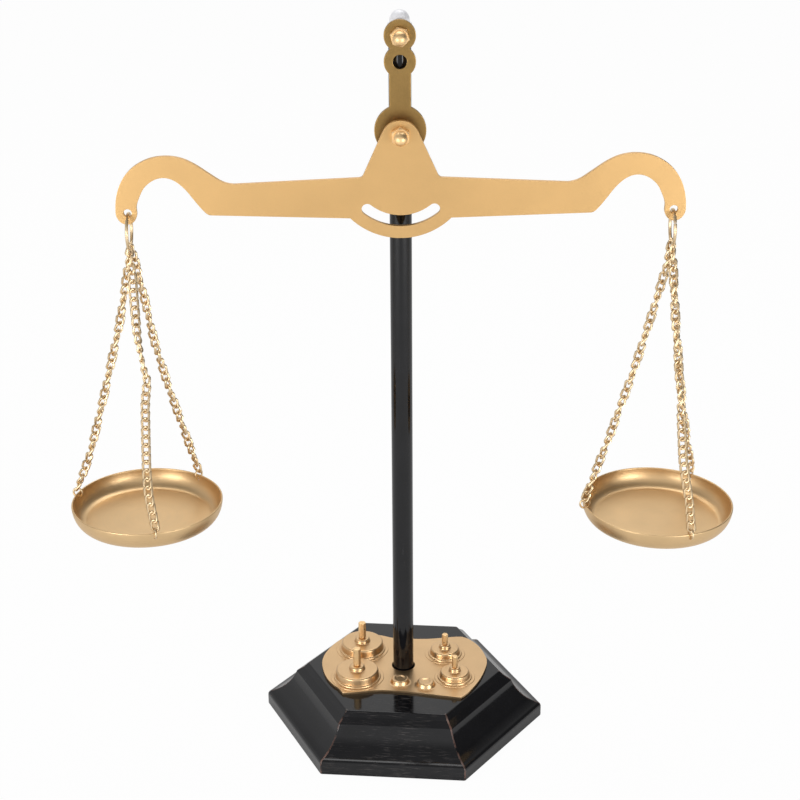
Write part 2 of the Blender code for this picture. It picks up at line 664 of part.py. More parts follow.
def build_chain(side, index, top, radial, foot, hinge):
    """One chain as a slim bar with an eye at each end: one on the split ring, one on the jump ring."""
    name = f"chain_{side}_{index + 1}"
    eye = RING_WIRE + GAP + LINK_WIRE
    start = top + radial * eye
    way = (start - foot).normalized()
    end = foot + way * CHAIN_END_RADIUS
    length = (end - start).length
    profile = (
        (0, 0),
        (LINK_WIRE, 0),
        (LINK_WIRE, CHAIN_TAPER / 4),
        (CHAIN_BAR_RADIUS, CHAIN_TAPER),
        (CHAIN_BAR_RADIUS, length - CHAIN_TAPER / 4),
        (LINK_WIRE, length),
        (0, length),
    )
    bar = add(name, turned(profile, 6), brass(f"{name}_brass"), hinge, aligned(start, end))
    normal = radial.cross(Vector((1, 0, 0)))
    upper = aligned(top, top + normal)
    unite(bar, add(f"{name}_upper_eye", torus(eye, LINK_WIRE, 14, 6), None, hinge, upper))
    outward = Vector((foot.x, foot.y, 0))
    lower = aligned(foot, foot + outward - way * outward.dot(way))
    unite(bar, add(f"{name}_lower_eye", torus(CHAIN_END_RADIUS, LINK_WIRE, 12, 6), None, hinge, lower))


def build_pan(side, ring_hinge):
    """A pan, its jump rings and its chains, which swing together about the split ring's centre."""
    hinge = joint_empty(f"pan_hinge_{side}", (0, 0, -RING_RADIUS), ring_hinge)
    to_right, to_front = PAN_LEANS[side]
    rim = Matrix.Translation((0, 0, -PAN_DROPS[side])) @ Matrix.Rotation(to_right, 4, "Y")
    rim = rim @ Matrix.Rotation(to_front, 4, "X")
    pan = add(f"weighing_pan_{side}", turned(pan_profile(), 44), brass(f"pan_brass_{side}"), hinge, rim)
    wall_middle = PAN_RADIUS - PAN_WALL / 2
    for i, (fan, azimuth) in enumerate(zip(CHAIN_FANS, CHAIN_FEET[side])):
        name = f"{side}_{i + 1}"
        spot = rim @ Matrix.Rotation(azimuth, 4, "Z") @ Matrix.Translation((0, -wall_middle, 0))
        drill = spot @ Matrix.Translation((0, 0, -JUMP_RING_RADIUS)) @ TO_FRONT
        reach = 4 * PAN_WALL
        cut(pan, add(f"rim_hole_{name}", rod(LINK_WIRE + GAP, -reach, reach, 14), None, hinge, drill))
        across = spot @ Matrix.Rotation(math.radians(90), 4, "Y")
        jump_ring = torus(JUMP_RING_RADIUS, LINK_WIRE, 14, 6)
        add(f"jump_ring_{name}", jump_ring, brass(f"jump_ring_brass_{name}"), hinge, across)
        radial = Vector((0, math.sin(fan), -math.cos(fan)))
        foot = spot @ Vector((0, 0, JUMP_RING_RADIUS))
        build_chain(side, i, radial * RING_RADIUS, radial, foot, hinge)


def main():
    for obj in list(bpy.data.objects):
        bpy.data.objects.remove(obj)
    build_block()
    build_plate()
    build_post()
    build_cap()
    build_hanger()
    pivot = build_beam()
    for side in SIDES:
        build_pan(side, build_ring(side, pivot))


main()
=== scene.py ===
"""The look of a brass beam balance: its shapes in full detail, its finishes and a plain studio.

Every length is in metres, +Z is up and the front of the balance faces -Y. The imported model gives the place
of each piece, and each new piece stands for one of its nodes.
"""

import math

import bpy
from mathutils import Matrix, Vector


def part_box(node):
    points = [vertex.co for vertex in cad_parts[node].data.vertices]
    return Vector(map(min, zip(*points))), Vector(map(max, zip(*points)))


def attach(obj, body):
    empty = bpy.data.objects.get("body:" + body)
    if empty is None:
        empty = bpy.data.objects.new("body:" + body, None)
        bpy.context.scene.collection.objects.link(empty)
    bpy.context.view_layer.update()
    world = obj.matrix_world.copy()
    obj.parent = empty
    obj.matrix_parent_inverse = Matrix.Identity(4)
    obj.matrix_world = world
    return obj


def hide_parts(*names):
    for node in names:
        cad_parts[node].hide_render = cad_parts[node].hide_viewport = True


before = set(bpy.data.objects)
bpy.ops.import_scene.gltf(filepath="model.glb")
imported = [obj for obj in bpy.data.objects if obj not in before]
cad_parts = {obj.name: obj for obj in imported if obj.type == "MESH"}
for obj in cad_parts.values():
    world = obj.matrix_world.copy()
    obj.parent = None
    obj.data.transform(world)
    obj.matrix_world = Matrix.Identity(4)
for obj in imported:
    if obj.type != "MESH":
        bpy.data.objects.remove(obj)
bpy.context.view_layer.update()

bl_info = {
    "name": "Brass Beam Balance",
    "version": (1, 0, 0),
    "blender": (4, 5, 0),
    "location": "View3D > Sidebar > Balance",
    "description": "Builds the pieces of a brass beam balance, their finishes and a small studio",
    "category": "Object",
}

MM = 0.001
SIDES = {"left": -1, "right": 1}
TO_FRONT = Matrix.Rotation(math.radians(90), 4, "X")  # carries local +Z to the front, -Y
BLOCK_TURN = math.radians(-5.5)
CHAIN_FANS = (math.radians(-13), math.radians(13), 0.0)  # how far along the split ring each chain hangs

BLOCK_CORNER = 64.5 * MM  # from the block's middle to a corner at its foot
POST_RADIUS = 4.67 * MM
POST_BORE = 3.77 * MM
PLUG_RADIUS = 3.47 * MM
BOLT_HOLE = 2.25 * MM  # radius
SHANK = 1.95 * MM  # radius
HEAD_HEIGHT = 2.6 * MM
RING_WIRE = 0.7 * MM  # radius
RIM_RING = 2.1 * MM  # radius to the middle of the wire
RIM_RING_WIRE = 0.45 * MM
PAN_RADIUS = 33.0 * MM
PAN_DEPTH = 9.0 * MM
PAN_SIDE = 6.2 * MM  # width of the curved side, seen from above

# Wavy edge of the pressed plate in millimetres: three stretches, each from one sharp corner to the next
PLATE_EDGES = (
    ((-25.3, -26.6), (-17.2, -24.6), (-9.2, -22.7), (-1.6, -22.5), (5.9, -22.8), (13.4, -23.9), (21.0, -25.0)),
    ((28.3, -25.8), (31.6, -21.1), (36.4, -9.0), (38.7, 4.7), (36.9, 13.4), (33.3, 20.8), (28.9, 25.8)),
    ((25.6, 27.6), (21.0, 27.0), (11.3, 24.6), (3.4, 23.8), (-6.4, 23.8), (-12.5, 25.6), (-20.0, 26.8),
     (-27.8, 24.1), (-33.2, 18.6), (-37.1, 9.2), (-38.2, 1.1), (-36.9, -6.8), (-34.2, -14.2), (-30.6, -19.7),
     (-27.9, -22.4)),
)
# Pressed discs: (x, y, radius of the disc, its height, radius of its foot and of its boss) in millimetres
DISCS = {
    "back_left": (-20.6, 12.8, 9.7, 4.3, 10.7, 3.5),
    "front_left": (-20.3, -12.0, 9.7, 4.3, 10.7, 3.5),
    "back_right": (18.6, 11.3, 6.6, 3.4, 7.8, 2.6),
    "front_right": (24.5, -8.7, 6.6, 3.4, 7.8, 2.6),
}
BUTTONS = ((-0.2, -15.1), (11.7, -16.7))

# The beam's right half in millimetres. Heights are from its pivot, and the swan neck's from the hook's hole.
HALF_SPAN = 112.1
HOOK_DROP = 31.8
ARM_TOP_END = (-43.9, 11.8)
ARM_FOOT_END = (-35.2, -1.2)
SWAN_NECK = (
    (-39.4, 12.9), (-34.2, 16.3), (-28.4, 20.3), (-22.8, 22.9), (-16.4, 23.8), (-9.6, 22.7), (-3.0, 19.1),
    (1.7, 13.6), (4.2, 7.0), (4.9, 0.4), (4.2, -2.4), (2.3, -4.4), (-0.3, -4.8), (-2.7, -3.4), (-3.8, -0.8),
    (-3.8, 2.7), (-5.2, 6.6), (-7.6, 10.9), (-11.7, 14.0), (-16.0, 14.8), (-20.1, 13.4), (-24.1, 9.9),
    (-27.5, 5.4), (-30.6, 1.4), (-32.9, -0.8),
)
ARM_LEAD = 4.0
BULGE_CENTRE = (0, -13.9)
BULGE_RADIUS = 29.4
BULGE_REACH = 20.8  # half the width of the bulge where it leaves the arms' lower edge

PAN_DROPS = {"left": 123.4 * MM, "right": 125.6 * MM}  # from a split ring's middle down to the pan's rim
PAN_LEANS = {"left": (0.0, 0.0), "right": (math.radians(1.2), math.radians(1))}  # to the right and the front
# How far each chain swerves from its straight line: (share of its length, millimetres towards +X)
SWERVES = {
    "left_1": ((0, 0), (0.3, -0.2), (0.38, 0.7), (0.43, 1.4), (0.47, 2.2), (0.55, 0.6), (0.68, -0.5),
               (0.8, -1.4), (0.89, -1.5), (1, 0)),
    "left_2": ((0, 0), (0.2, -0.8), (0.4, -2.2), (0.6, -2.1), (0.8, -1.1), (1, 0)),
    "left_3": ((0, 0), (0.15, 1.5), (0.3, 2.5), (0.6, 2.6), (0.85, 2.2), (0.93, 1.2), (1, 0)),
    "right_1": ((0, 0), (0.27, -0.8), (0.43, -0.7), (0.6, -1.0), (0.75, -1.5), (0.83, -1.0), (0.9, -0.2),
                (1, 0)),
    "right_2": ((0, 0), (0.3, -0.8), (0.55, -1.2), (0.75, -1.1), (0.86, -0.5), (1, 0)),
    "right_3": ((0, 0), (0.09, 1.1), (0.23, 1.7), (0.4, 2.0), (0.5, 2.1), (0.68, 1.5), (0.77, 1.3), (0.86, 0.6),
                (1, 0)),
}
# How far a chain's links are turned from facing the front: (share of its length, degrees)
ROLLS = {
    "left_1": ((0, -120), (0.09, 0), (0.22, 10), (0.5, 160), (0.68, 185), (1, 180)),
    "right_1": ((0, -300), (0.25, 10), (0.6, 330), (0.7, 358), (1, 362)),
    "left_2": ((0, -60), (1, 1060)),
    "right_2": ((0, 20), (1, 1120)),
    "left_3": ((0, 40), (1, 1180)),
    "right_3": ((0, 0), (1, 1240)),
}


def length_property(name, description, value):
    return bpy.props.FloatProperty(name=name, description=description, default=value, unit="LENGTH")


class BalanceSizes(bpy.types.PropertyGroup):
    """Sizes that can be changed without moving a piece from its place."""

    arris: length_property("Block arris", "Width of the rounded edges of the block", 0.45 * MM)
    plate_edge: length_property("Plate edge", "Rounding of the flat plates' edges", 0.3 * MM)
    pan_wall: length_property("Pan wall", "Thickness of a pan's wall", 0.8 * MM)
    link_width: length_property("Link width", "Width of a chain link, outside", 4.3 * MM)
    link_length: length_property("Link length", "Length of a chain link, outside", 6.0 * MM)
    link_wire: length_property("Link wire", "Radius of a link's wire", 0.6 * MM)
    link_twist: bpy.props.FloatProperty(
        name="Link twist",
        description="Twist of one link from end to end",
        default=math.radians(62),
        subtype="ANGLE",
    )
    pad_height: length_property("Pad height", "Height of the low pad round each pressed disc", 0.2 * MM)


def colour_property(name, description, value):
    return bpy.props.FloatVectorProperty(
        name=name, description=description, default=value, size=3, min=0.0, max=1.0, subtype="COLOR"
    )


class BalanceColours(bpy.types.PropertyGroup):
    """Colours of the finishes."""

    beam: colour_property("Beam", "Satin gold of the beam", (0.72, 0.455, 0.195))
    plate: colour_property("Plate", "Pale gold of the pressed plate", (0.74, 0.50, 0.27))
    pan: colour_property("Pan", "Pale gold of the pans", (0.77, 0.54, 0.29))
    chain: colour_property("Chain", "Pale gold of the chains and rings", (0.80, 0.62, 0.39))
    nut: colour_property("Nut", "Gold of the nuts and knobs", (0.97, 0.68, 0.36))
    hanger: colour_property("Hanger", "Antique bronze of the hanger", (0.36, 0.225, 0.08))
    lacquer: colour_property("Lacquer", "Black of the block and the post", (0.004, 0.004, 0.005))
    bare_wood: colour_property("Bare wood", "Brown where the lacquer is rubbed through", (0.12, 0.06, 0.045))
    chrome: colour_property("Chrome", "Silver of the cap", (0.95, 0.95, 0.98))
    steel: colour_property("Steel", "Grey of the hidden fixings", (0.5, 0.5, 0.51))
    floor: colour_property("Floor", "White of the floor", (0.86, 0.86, 0.86))


def sizes():
    return bpy.context.scene.balance_sizes


def colours():
    return bpy.context.scene.balance_colours


# ---------------------------------------------------------------- outlines


def arc(centre, radius, start, end, steps):
    """Points from one angle to another, both ends included."""
    angles = [start + (end - start) * i / steps for i in range(steps + 1)]
    return [(centre[0] + radius * math.cos(a), centre[1] + radius * math.sin(a)) for a in angles]


def curved(points, steps):
    """A Catmull-Rom curve through the points, from the second to the last but one."""
    found = []
    for a, b, c, d in zip(points, points[1:], points[2:], points[3:]):
        a, b, c, d = Vector(a), Vector(b), Vector(c), Vector(d)
        for i in range(steps):
            t = i / steps
            bend = (2 * a - 5 * b + 4 * c - d) * t**2 + (3 * b - a - 3 * c + d) * t**3
            found.append(tuple(0.5 * (2 * b + (c - a) * t + bend)))
    return found


def towards(start, end, distance):
    """The point that far from the start on the way to the end."""
    return tuple(Vector(start) + (Vector(end) - Vector(start)).normalized() * distance)


def filleted(before, corner, after, radius, steps):
    """The arc that rounds the corner between two straight edges."""
    corner = Vector(corner)
    back, on = (Vector(before) - corner).normalized(), (Vector(after) - corner).normalized()
    half = back.angle(on) / 2
    centre = corner + (back + on).normalized() * radius / math.sin(half)
    ends = [corner + way * radius / math.tan(half) - centre for way in (back, on)]
    start, end = (math.atan2(e.y, e.x) for e in ends)
    turn = (end - start + math.pi) % math.tau - math.pi
    return arc(centre, radius, start, start + turn, steps)


def rounded(corners, steps=3):
    """A profile with rounded corners. Each corner is (radius, height) or (radius, height, rounding)."""
    points = []
    for i, corner in enumerate(corners):
        if len(corner) == 2:
            points.append(tuple(corner))
        else:
            around = [corners[j % len(corners)][:2] for j in (i - 1, i, i + 1)]
            points += filleted(*around, corner[2], steps)
    return points


def circle(x, y, radius, steps):
    return arc((x, y), radius, 0, math.tau, steps)[:-1]


def mirrored(half):
    """A closed outline from its right half, which runs from the top down to the bottom."""
    return half + [(-x, y) for x, y in reversed(half) if x > MM / 100]


def in_metres(points):
    return [(x * MM, y * MM) for x, y in points]


# ---------------------------------------------------------------- modelling


def select_only(obj):
    if bpy.context.mode != "OBJECT":
        bpy.ops.object.mode_set(mode="OBJECT")
    bpy.ops.object.select_all(action="DESELECT")
    obj.select_set(True)
    bpy.context.view_layer.objects.active = obj


def start(name):
    """An empty mesh at the origin, in edit mode."""
    if bpy.context.mode != "OBJECT":
        bpy.ops.object.mode_set(mode="OBJECT")
    bpy.ops.object.select_all(action="DESELECT")
    bpy.ops.mesh.primitive_plane_add(size=MM)
    obj = bpy.context.object
    obj.name = name
    obj.data.name = name
    bpy.ops.object.mode_set(mode="EDIT")
    bpy.ops.mesh.delete(type="VERT")
    bpy.ops.mesh.select_mode(type="VERT")
    return obj


def trace(points, closed):
    """Draws edges through the points, one extrusion after another."""
    bpy.ops.mesh.select_all(action="DESELECT")
    bpy.ops.mesh.primitive_plane_add(size=MM, location=points[0])
    bpy.ops.mesh.merge(type="CENTER")
    path = points + points[:1] if closed else points
    for a, b in zip(path, path[1:]):
        bpy.ops.mesh.extrude_region_move(TRANSFORM_OT_translate={"value": Vector(b) - Vector(a)})


def pick(obj, kind, test):
    """In edit mode, selects the vertices or edges that pass the test. A vertex is tested by its place."""
    select_only(obj)
    bpy.ops.object.mode_set(mode="EDIT")
    bpy.ops.mesh.select_mode(type=kind)
    bpy.ops.mesh.select_all(action="DESELECT")
    bpy.ops.object.mode_set(mode="OBJECT")
    places = [vertex.co.copy() for vertex in obj.data.vertices]
    if kind == "VERT":
        for vertex in obj.data.vertices:
            vertex.select = test(places[vertex.index])
    else:
        for edge in obj.data.edges:
            edge.select = test(*(places[i] for i in edge.vertices))
    bpy.ops.object.mode_set(mode="EDIT")


def weld():
    """Merges what coincides and turns every face outwards."""
    bpy.ops.mesh.select_all(action="SELECT")
    bpy.ops.mesh.remove_doubles(threshold=MM / 500)
    bpy.ops.mesh.normals_make_consistent(inside=False)


def round_edges(width, sharper_than=50):
    """Bevels every edge in edit mode that is sharper than that many degrees."""
    bpy.ops.mesh.select_mode(type="EDGE")
    bpy.ops.mesh.select_all(action="DESELECT")
    bpy.ops.mesh.edges_select_sharp(sharpness=math.radians(sharper_than))
    bpy.ops.mesh.bevel(offset=width, segments=2, affect="EDGES", clamp_overlap=True, loop_slide=False)
    bpy.ops.mesh.select_mode(type="VERT")


def spun(name, profile, steps=64):
    """A (radius, height) profile spun round Z. One that starts on the axis ends there too."""
    obj = start(name)
    trace([Vector((r, 0, z)) for r, z in profile], closed=profile[0][0] > 0)
    bpy.ops.mesh.select_all(action="SELECT")
    bpy.ops.mesh.spin(steps=steps, angle=math.tau, center=(0, 0, 0), axis=(0, 0, 1))
    weld()
    return obj


def plate(name, outline, holes, thickness, edge):
    """A flat plate in XY from height 0 up, with round and traced holes and rounded edges."""
    obj = start(name)
    trace([Vector((x, y, 0)) for x, y in outline], closed=True)
    for hole in holes:
        trace([Vector((x, y, 0)) for x, y in hole], closed=True)
    bpy.ops.mesh.select_all(action="SELECT")
    bpy.ops.mesh.remove_doubles(threshold=MM / 500)
    bpy.ops.mesh.fill(use_beauty=True)
    bpy.ops.mesh.select_all(action="SELECT")
    bpy.ops.mesh.extrude_region_move(TRANSFORM_OT_translate={"value": (0, 0, thickness)})
    weld()
    round_edges(edge)
    return obj


def apply_place(obj, place):
    """Moves the mesh, so that the object itself stays unturned at the origin."""
    select_only(obj)
    obj.matrix_world = place
    bpy.ops.object.transform_apply(location=True, rotation=True, scale=True)


def combine(obj, other, operation):
    """Cuts, joins or intersects with another object, which is used up."""
    select_only(obj)
    modifier = obj.modifiers.new(operation, "BOOLEAN")
    modifier.operation = operation
    modifier.solver = "EXACT"
    modifier.object = other
    bpy.ops.object.modifier_apply(modifier=modifier.name)
    bpy.data.objects.remove(other)


def drilled(obj, radius, low, high, place=Matrix(), steps=32):
    """Drills a round hole along the place's Z, from one height to the other."""
    drill = spun("drill", [(0, low), (radius, low), (radius, high), (0, high)], steps)
    apply_place(drill, place)
    combine(obj, drill, "DIFFERENCE")


def sleeve(name, outer, low, high, rounding):
    """A short tube that fits over a bolt."""
    profile = [(outer, low, rounding), (outer, high, rounding), (BOLT_HOLE, high), (BOLT_HOLE, low)]
    return spun(name, rounded(profile), 56)


def slotted_screw(name, radius, rounding, head, tip):
    """A plain shank under a round head, with a screwdriver slot across the head's outer face."""
    face = head + HEAD_HEIGHT
    screw = spun(name, rounded([
        (0, head), (radius, head, rounding), (radius, face, 0.2 * MM), (SHANK, face), (SHANK, tip, 0.4 * MM),
        (0, tip),
    ]), 48)
    slot = start("slot")
    bpy.ops.mesh.primitive_cube_add(size=1)
    bpy.ops.transform.resize(value=(3 * radius, 1.0 * MM, 2.2 * MM))
    bpy.ops.object.mode_set(mode="OBJECT")
    apply_place(slot, Matrix.Translation((0, 0, head)))
    combine(screw, slot, "DIFFERENCE")
    return screw


def joined(parts):
    """One object from several."""
    select_only(parts[0])
    for part in parts:
        part.select_set(True)
    bpy.ops.object.join()
    return parts[0]


def smooth(obj, angle):
    """Smooth shading that keeps flat faces flat and edges sharper than the angle, in degrees, sharp."""
    select_only(obj)
    bpy.ops.object.shade_smooth_by_angle(angle=math.radians(angle))
    bpy.ops.object.modifier_add(type="WEIGHTED_NORMAL")
    obj.modifiers[-1].keep_sharp = True
    bpy.ops.object.modifier_apply(modifier=obj.modifiers[-1].name)


def settle(obj, body, node, slot, *materials, angle=38):
    """Shades a finished piece, gives it its materials and its body, and hides the node that it stands for."""
    smooth(obj, angle)
    if materials:
        obj.data.materials.clear()
        for material in materials:
            obj.data.materials.append(material)
    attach(obj, body)
    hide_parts(node)


def middle(node):
    low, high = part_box(node)
    return (low + high) / 2


def to_front(node, y=0.0):
    """The place of a piece that is made lying flat and stands facing the front, at the node's height."""
    return Matrix.Translation((0, y, middle(node).z)) @ TO_FRONT


def on_block(x, y, z):
    """A place that is turned as the block is."""
    return Matrix.Translation((x, y, z)) @ Matrix.Rotation(BLOCK_TURN, 4, "Z")


# ---------------------------------------------------------------- finishes


def put(tree, kind, inputs=None, **settings):
    """Adds a shader node, with values or links for its inputs."""
    node = tree.nodes.new(kind)
    for key, value in settings.items():
        setattr(node, key, value)
    for key, value in (inputs or {}).items():
        if isinstance(value, bpy.types.NodeSocket):
            tree.links.new(value, node.inputs[key])
        else:
            node.inputs[key].default_value = value
    return node


def group(name, inputs, outputs):
    """An empty shader group with those sockets: {name: (kind, default)}."""
    tree = bpy.data.node_groups.new(name, "ShaderNodeTree")
    for key, (kind, default) in inputs.items():
        socket = tree.interface.new_socket(name=key, in_out="INPUT", socket_type=kind)
        if default is not None:
            socket.default_value = default
    for key, kind in outputs.items():
        tree.interface.new_socket(name=key, in_out="OUTPUT", socket_type=kind)
    return tree, tree.nodes.new("NodeGroupInput"), tree.nodes.new("NodeGroupOutput")


def noise(tree, vector, scale, detail=3.0, roughness=0.55):
    inputs = {"Vector": vector, "Scale": scale, "Detail": detail, "Roughness": roughness}
    return put(tree, "ShaderNodeTexNoise", inputs).outputs["Fac"]


def math_node(tree, operation, a, b):
    return put(tree, "ShaderNodeMath", {0: a, 1: b}, operation=operation).outputs[0]


def vector_node(tree, operation, a, b):
    return put(tree, "ShaderNodeVectorMath", {0: a, 1: b}, operation=operation).outputs[0]


def emboss(tree, surface, height, strength, depth=0.05 * MM):
    """Fine relief in the surface's normal."""
    relief = put(tree, "ShaderNodeBump", {"Height": height, "Strength": strength, "Distance": depth})
    tree.links.new(relief.outputs["Normal"], surface.inputs["Normal"])


def spread(tree, value, low, high, to_low=0.0, to_high=1.0):
    """Maps a value from one range to another and clamps it."""
    inputs = {"Value": value, "From Min": low, "From Max": high, "To Min": to_low, "To Max": to_high}
    return put(tree, "ShaderNodeMapRange", inputs, clamp=True).outputs["Result"]


def blend(tree, factor, a, b):
    """Mixes two colours."""
    node = put(tree, "ShaderNodeMix", {"Factor": factor}, data_type="RGBA")
    for socket, value in ((node.inputs[6], a), (node.inputs[7], b)):
        if isinstance(value, bpy.types.NodeSocket):
            tree.links.new(value, socket)
        else:
            socket.default_value = value
    return node.outputs[2]


def grain_group():
    """Fine grain, stretched along one way, and broad clouding of a hand-finished metal."""
    inputs = {
        "Vector": ("NodeSocketVector", None),
        "Stretch": ("NodeSocketVector", (1.0, 1.0, 1.0)),
        "Grain Scale": ("NodeSocketFloat", 1500.0),
        "Cloud Scale": ("NodeSocketFloat", 40.0),
    }
    outputs = {"Grain": "NodeSocketFloat", "Cloud": "NodeSocketFloat"}
    tree, given, result = group("Satin grain", inputs, outputs)
    stretched = vector_node(tree, "MULTIPLY", given.outputs["Vector"], given.outputs["Stretch"])
    grain = noise(tree, stretched, given.outputs["Grain Scale"], 2.0)
    cloud = noise(tree, given.outputs["Vector"], given.outputs["Cloud Scale"], 4.0, 0.6)
    tree.links.new(grain, result.inputs["Grain"])
    tree.links.new(spread(tree, cloud, 0.3, 0.7), result.inputs["Cloud"])
    return tree


def scratch_group():
    """Thin broken lines along X or Y, as fine wear on a lacquered face."""
    inputs = {
        "Vector": ("NodeSocketVector", None),
        "Stretch": ("NodeSocketVector", (1.0, 1.0, 1.0)),
        "Scale": ("NodeSocketFloat", 4000.0),
        "Amount": ("NodeSocketFloat", 0.5),
    }
    tree, given, result = group("Fine scratches", inputs, {"Mask": "NodeSocketFloat"})
    stretched = vector_node(tree, "MULTIPLY", given.outputs["Vector"], given.outputs["Stretch"])
    lines = noise(tree, stretched, given.outputs["Scale"], 1.0)
    patches = noise(tree, given.outputs["Vector"], 70.0, 2.0)
    threshold = math_node(tree, "SUBTRACT", 0.76, math_node(tree, "MULTIPLY", given.outputs["Amount"], 0.16))
    lines = spread(tree, lines, threshold, math_node(tree, "ADD", threshold, 0.1))
    mask = math_node(tree, "MULTIPLY", lines, spread(tree, patches, 0.35, 0.6))
    tree.links.new(mask, result.inputs["Mask"])
    return tree


def shared(name, build):
    """A shader group that is built once and then used again."""
    return bpy.data.node_groups.get(name) or build()


def begin_material(name):
    """A new material, its tree, its Principled node and its object coordinates."""
    material = bpy.data.materials.new(name)
    material.use_nodes = True
    tree = material.node_tree
    surface = tree.nodes["Principled BSDF"]
    place = put(tree, "ShaderNodeTexCoord").outputs["Object"]
    return material, tree, surface, place


def use_grain(tree, place, stretch, grain_scale, cloud_scale):
    node = put(tree, "ShaderNodeGroup", node_tree=shared("Satin grain", grain_group))
    tree.links.new(place, node.inputs["Vector"])
    node.inputs["Stretch"].default_value = stretch
    node.inputs["Grain Scale"].default_value = grain_scale
    node.inputs["Cloud Scale"].default_value = cloud_scale
    return node.outputs["Grain"], node.outputs["Cloud"]


def tinted(colour, factor):
    """The colour made lighter or darker, as a four-part colour."""
    return tuple(min(1.0, part * factor) for part in colour) + (1.0,)


def metal(name, colour, roughness, grain_scale, cloud_scale, contrast, bump=0.1, stretch=(1, 1, 1)):
    """A hand-finished metal: fine grain in the normal, clouding in the colour and the roughness."""
    material, tree, surface, place = begin_material(name)
    grain, cloud = use_grain(tree, place, stretch, grain_scale, cloud_scale)
    shade = blend(tree, cloud, tinted(colour, 1 - contrast), tinted(colour, 1 + contrast))
    fleck = spread(tree, grain, 0.3, 0.7, 1 - contrast, 1 + contrast)
    tree.links.new(vector_node(tree, "MULTIPLY", shade, fleck), surface.inputs["Base Color"])
    surface.inputs["Metallic"].default_value = 1.0
    fine, broad = spread(tree, grain, 0.3, 0.7, -0.05, 0.05), spread(tree, cloud, 0, 1, -0.03, 0.04)
    dull = math_node(tree, "ADD", fine, broad)
    tree.links.new(math_node(tree, "ADD", dull, roughness), surface.inputs["Roughness"])
    emboss(tree, surface, grain, bump)
    return material


def nut_finish(name, colour):
    """Bright gold with a few small dents, whose shade is painted into the colour as dark spots."""
    material = metal(name, colour, 0.46, 3200.0, 200.0, 0.04, 0.03)
    tree = material.node_tree
    surface = tree.nodes["Principled BSDF"]
    place = put(tree, "ShaderNodeTexCoord").outputs["Object"]
    cells = put(tree, "ShaderNodeTexVoronoi", {"Vector": place, "Scale": 620.0, "Randomness": 1.0})
    dent_shade_spots = spread(tree, cells.outputs["Distance"], 0.16, 0.24, 1, 0)
    patches = spread(tree, noise(tree, place, 330.0, 1.0), 0.6, 0.63)
    painted_dent_shade = math_node(tree, "MULTIPLY", dent_shade_spots, patches)
    before = surface.inputs["Base Color"].links[0].from_socket
    # Painted shade: the small dents are darkened in the colour to stand in for the shade inside them.
    tree.links.new(blend(tree, painted_dent_shade, before, tinted(colour, 0.12)), surface.inputs["Base Color"])
    return material


def pan_finish(name, centre, colour):
    """Spun brass: fine rings round the pan's centre and a slightly uneven sheen."""
    material, tree, surface, place = begin_material(name)
    centred = vector_node(tree, "SUBTRACT", place, tuple(centre))
    flat = vector_node(tree, "MULTIPLY", centred, (1, 1, 0))
    radius = put(tree, "ShaderNodeVectorMath", {0: flat}, operation="LENGTH").outputs["Value"]
    height = put(tree, "ShaderNodeSeparateXYZ", {0: centred}).outputs["Z"]
    across = put(tree, "ShaderNodeCombineXYZ", {0: radius, 1: height}).outputs[0]
    rings = noise(tree, across, 2600.0, 2.0)
    cloud = noise(tree, place, 60.0, 3.0)
    shade = blend(tree, spread(tree, cloud, 0.3, 0.7), tinted(colour, 0.95), tinted(colour, 1.04))
    fleck = spread(tree, rings, 0.3, 0.7, 0.975, 1.025)
    tree.links.new(vector_node(tree, "MULTIPLY", shade, fleck), surface.inputs["Base Color"])
    surface.inputs["Metallic"].default_value = 1.0
    tree.links.new(spread(tree, rings, 0.3, 0.7, 0.36, 0.44), surface.inputs["Roughness"])
    emboss(tree, surface, rings, 0.05)
    return material


def lacquer(name, colour, stretch, scratch_amount, scratch_colour):
    """Glossy black paint, slightly rippled. Returns the material, its turned coordinates and its scratches."""
    material, tree, surface, place = begin_material(name)
    scratch = put(tree, "ShaderNodeGroup", node_tree=shared("Fine scratches", scratch_group))
    turned = put(tree, "ShaderNodeMapping", {"Vector": place, "Rotation": (0, 0, -BLOCK_TURN)}).outputs[0]
    tree.links.new(turned, scratch.inputs["Vector"])
    scratch.inputs["Stretch"].default_value = stretch
    scratch.inputs["Amount"].default_value = scratch_amount
    mask = scratch.outputs["Mask"]
    cloud = noise(tree, place, 90.0, 3.0)
    black = blend(tree, spread(tree, cloud, 0.3, 0.7), tinted(colour, 0.8), tinted(colour, 1.3))
    tree.links.new(blend(tree, mask, black, scratch_colour), surface.inputs["Base Color"])
    sheen = spread(tree, cloud, 0.3, 0.7, 0.07, 0.12)
    gloss = math_node(tree, "ADD", sheen, math_node(tree, "MULTIPLY", mask, 0.3))
    tree.links.new(gloss, surface.inputs["Roughness"])
    surface.inputs["IOR"].default_value = 1.46
    emboss(tree, surface, noise(tree, place, 130.0, 1.0), 0.05, 0.4 * MM)
    return material, turned, mask


def block_lacquer(name, colour):
    """The lacquer of the block, scratched on its front face only."""
    material, turned, mask = lacquer(name, colour, (0.04, 1, 1), 1.0, (0.06, 0.053, 0.051, 1))
    tree = material.node_tree
    axes = put(tree, "ShaderNodeSeparateXYZ", {0: turned}).outputs
    aside = math_node(tree, "ABSOLUTE", axes["X"], 0.0)
    side = math_node(tree, "MULTIPLY", aside, math.tan(math.radians(60)))
    front = math_node(tree, "SUBTRACT", math_node(tree, "MULTIPLY", axes["Y"], -1.0), side)
    on_front = math_node(tree, "MULTIPLY", mask, spread(tree, front, 0.0, MM))
    for link in list(mask.links):
        if link.to_node != on_front.node:
            tree.links.new(on_front, link.to_socket)
    return material


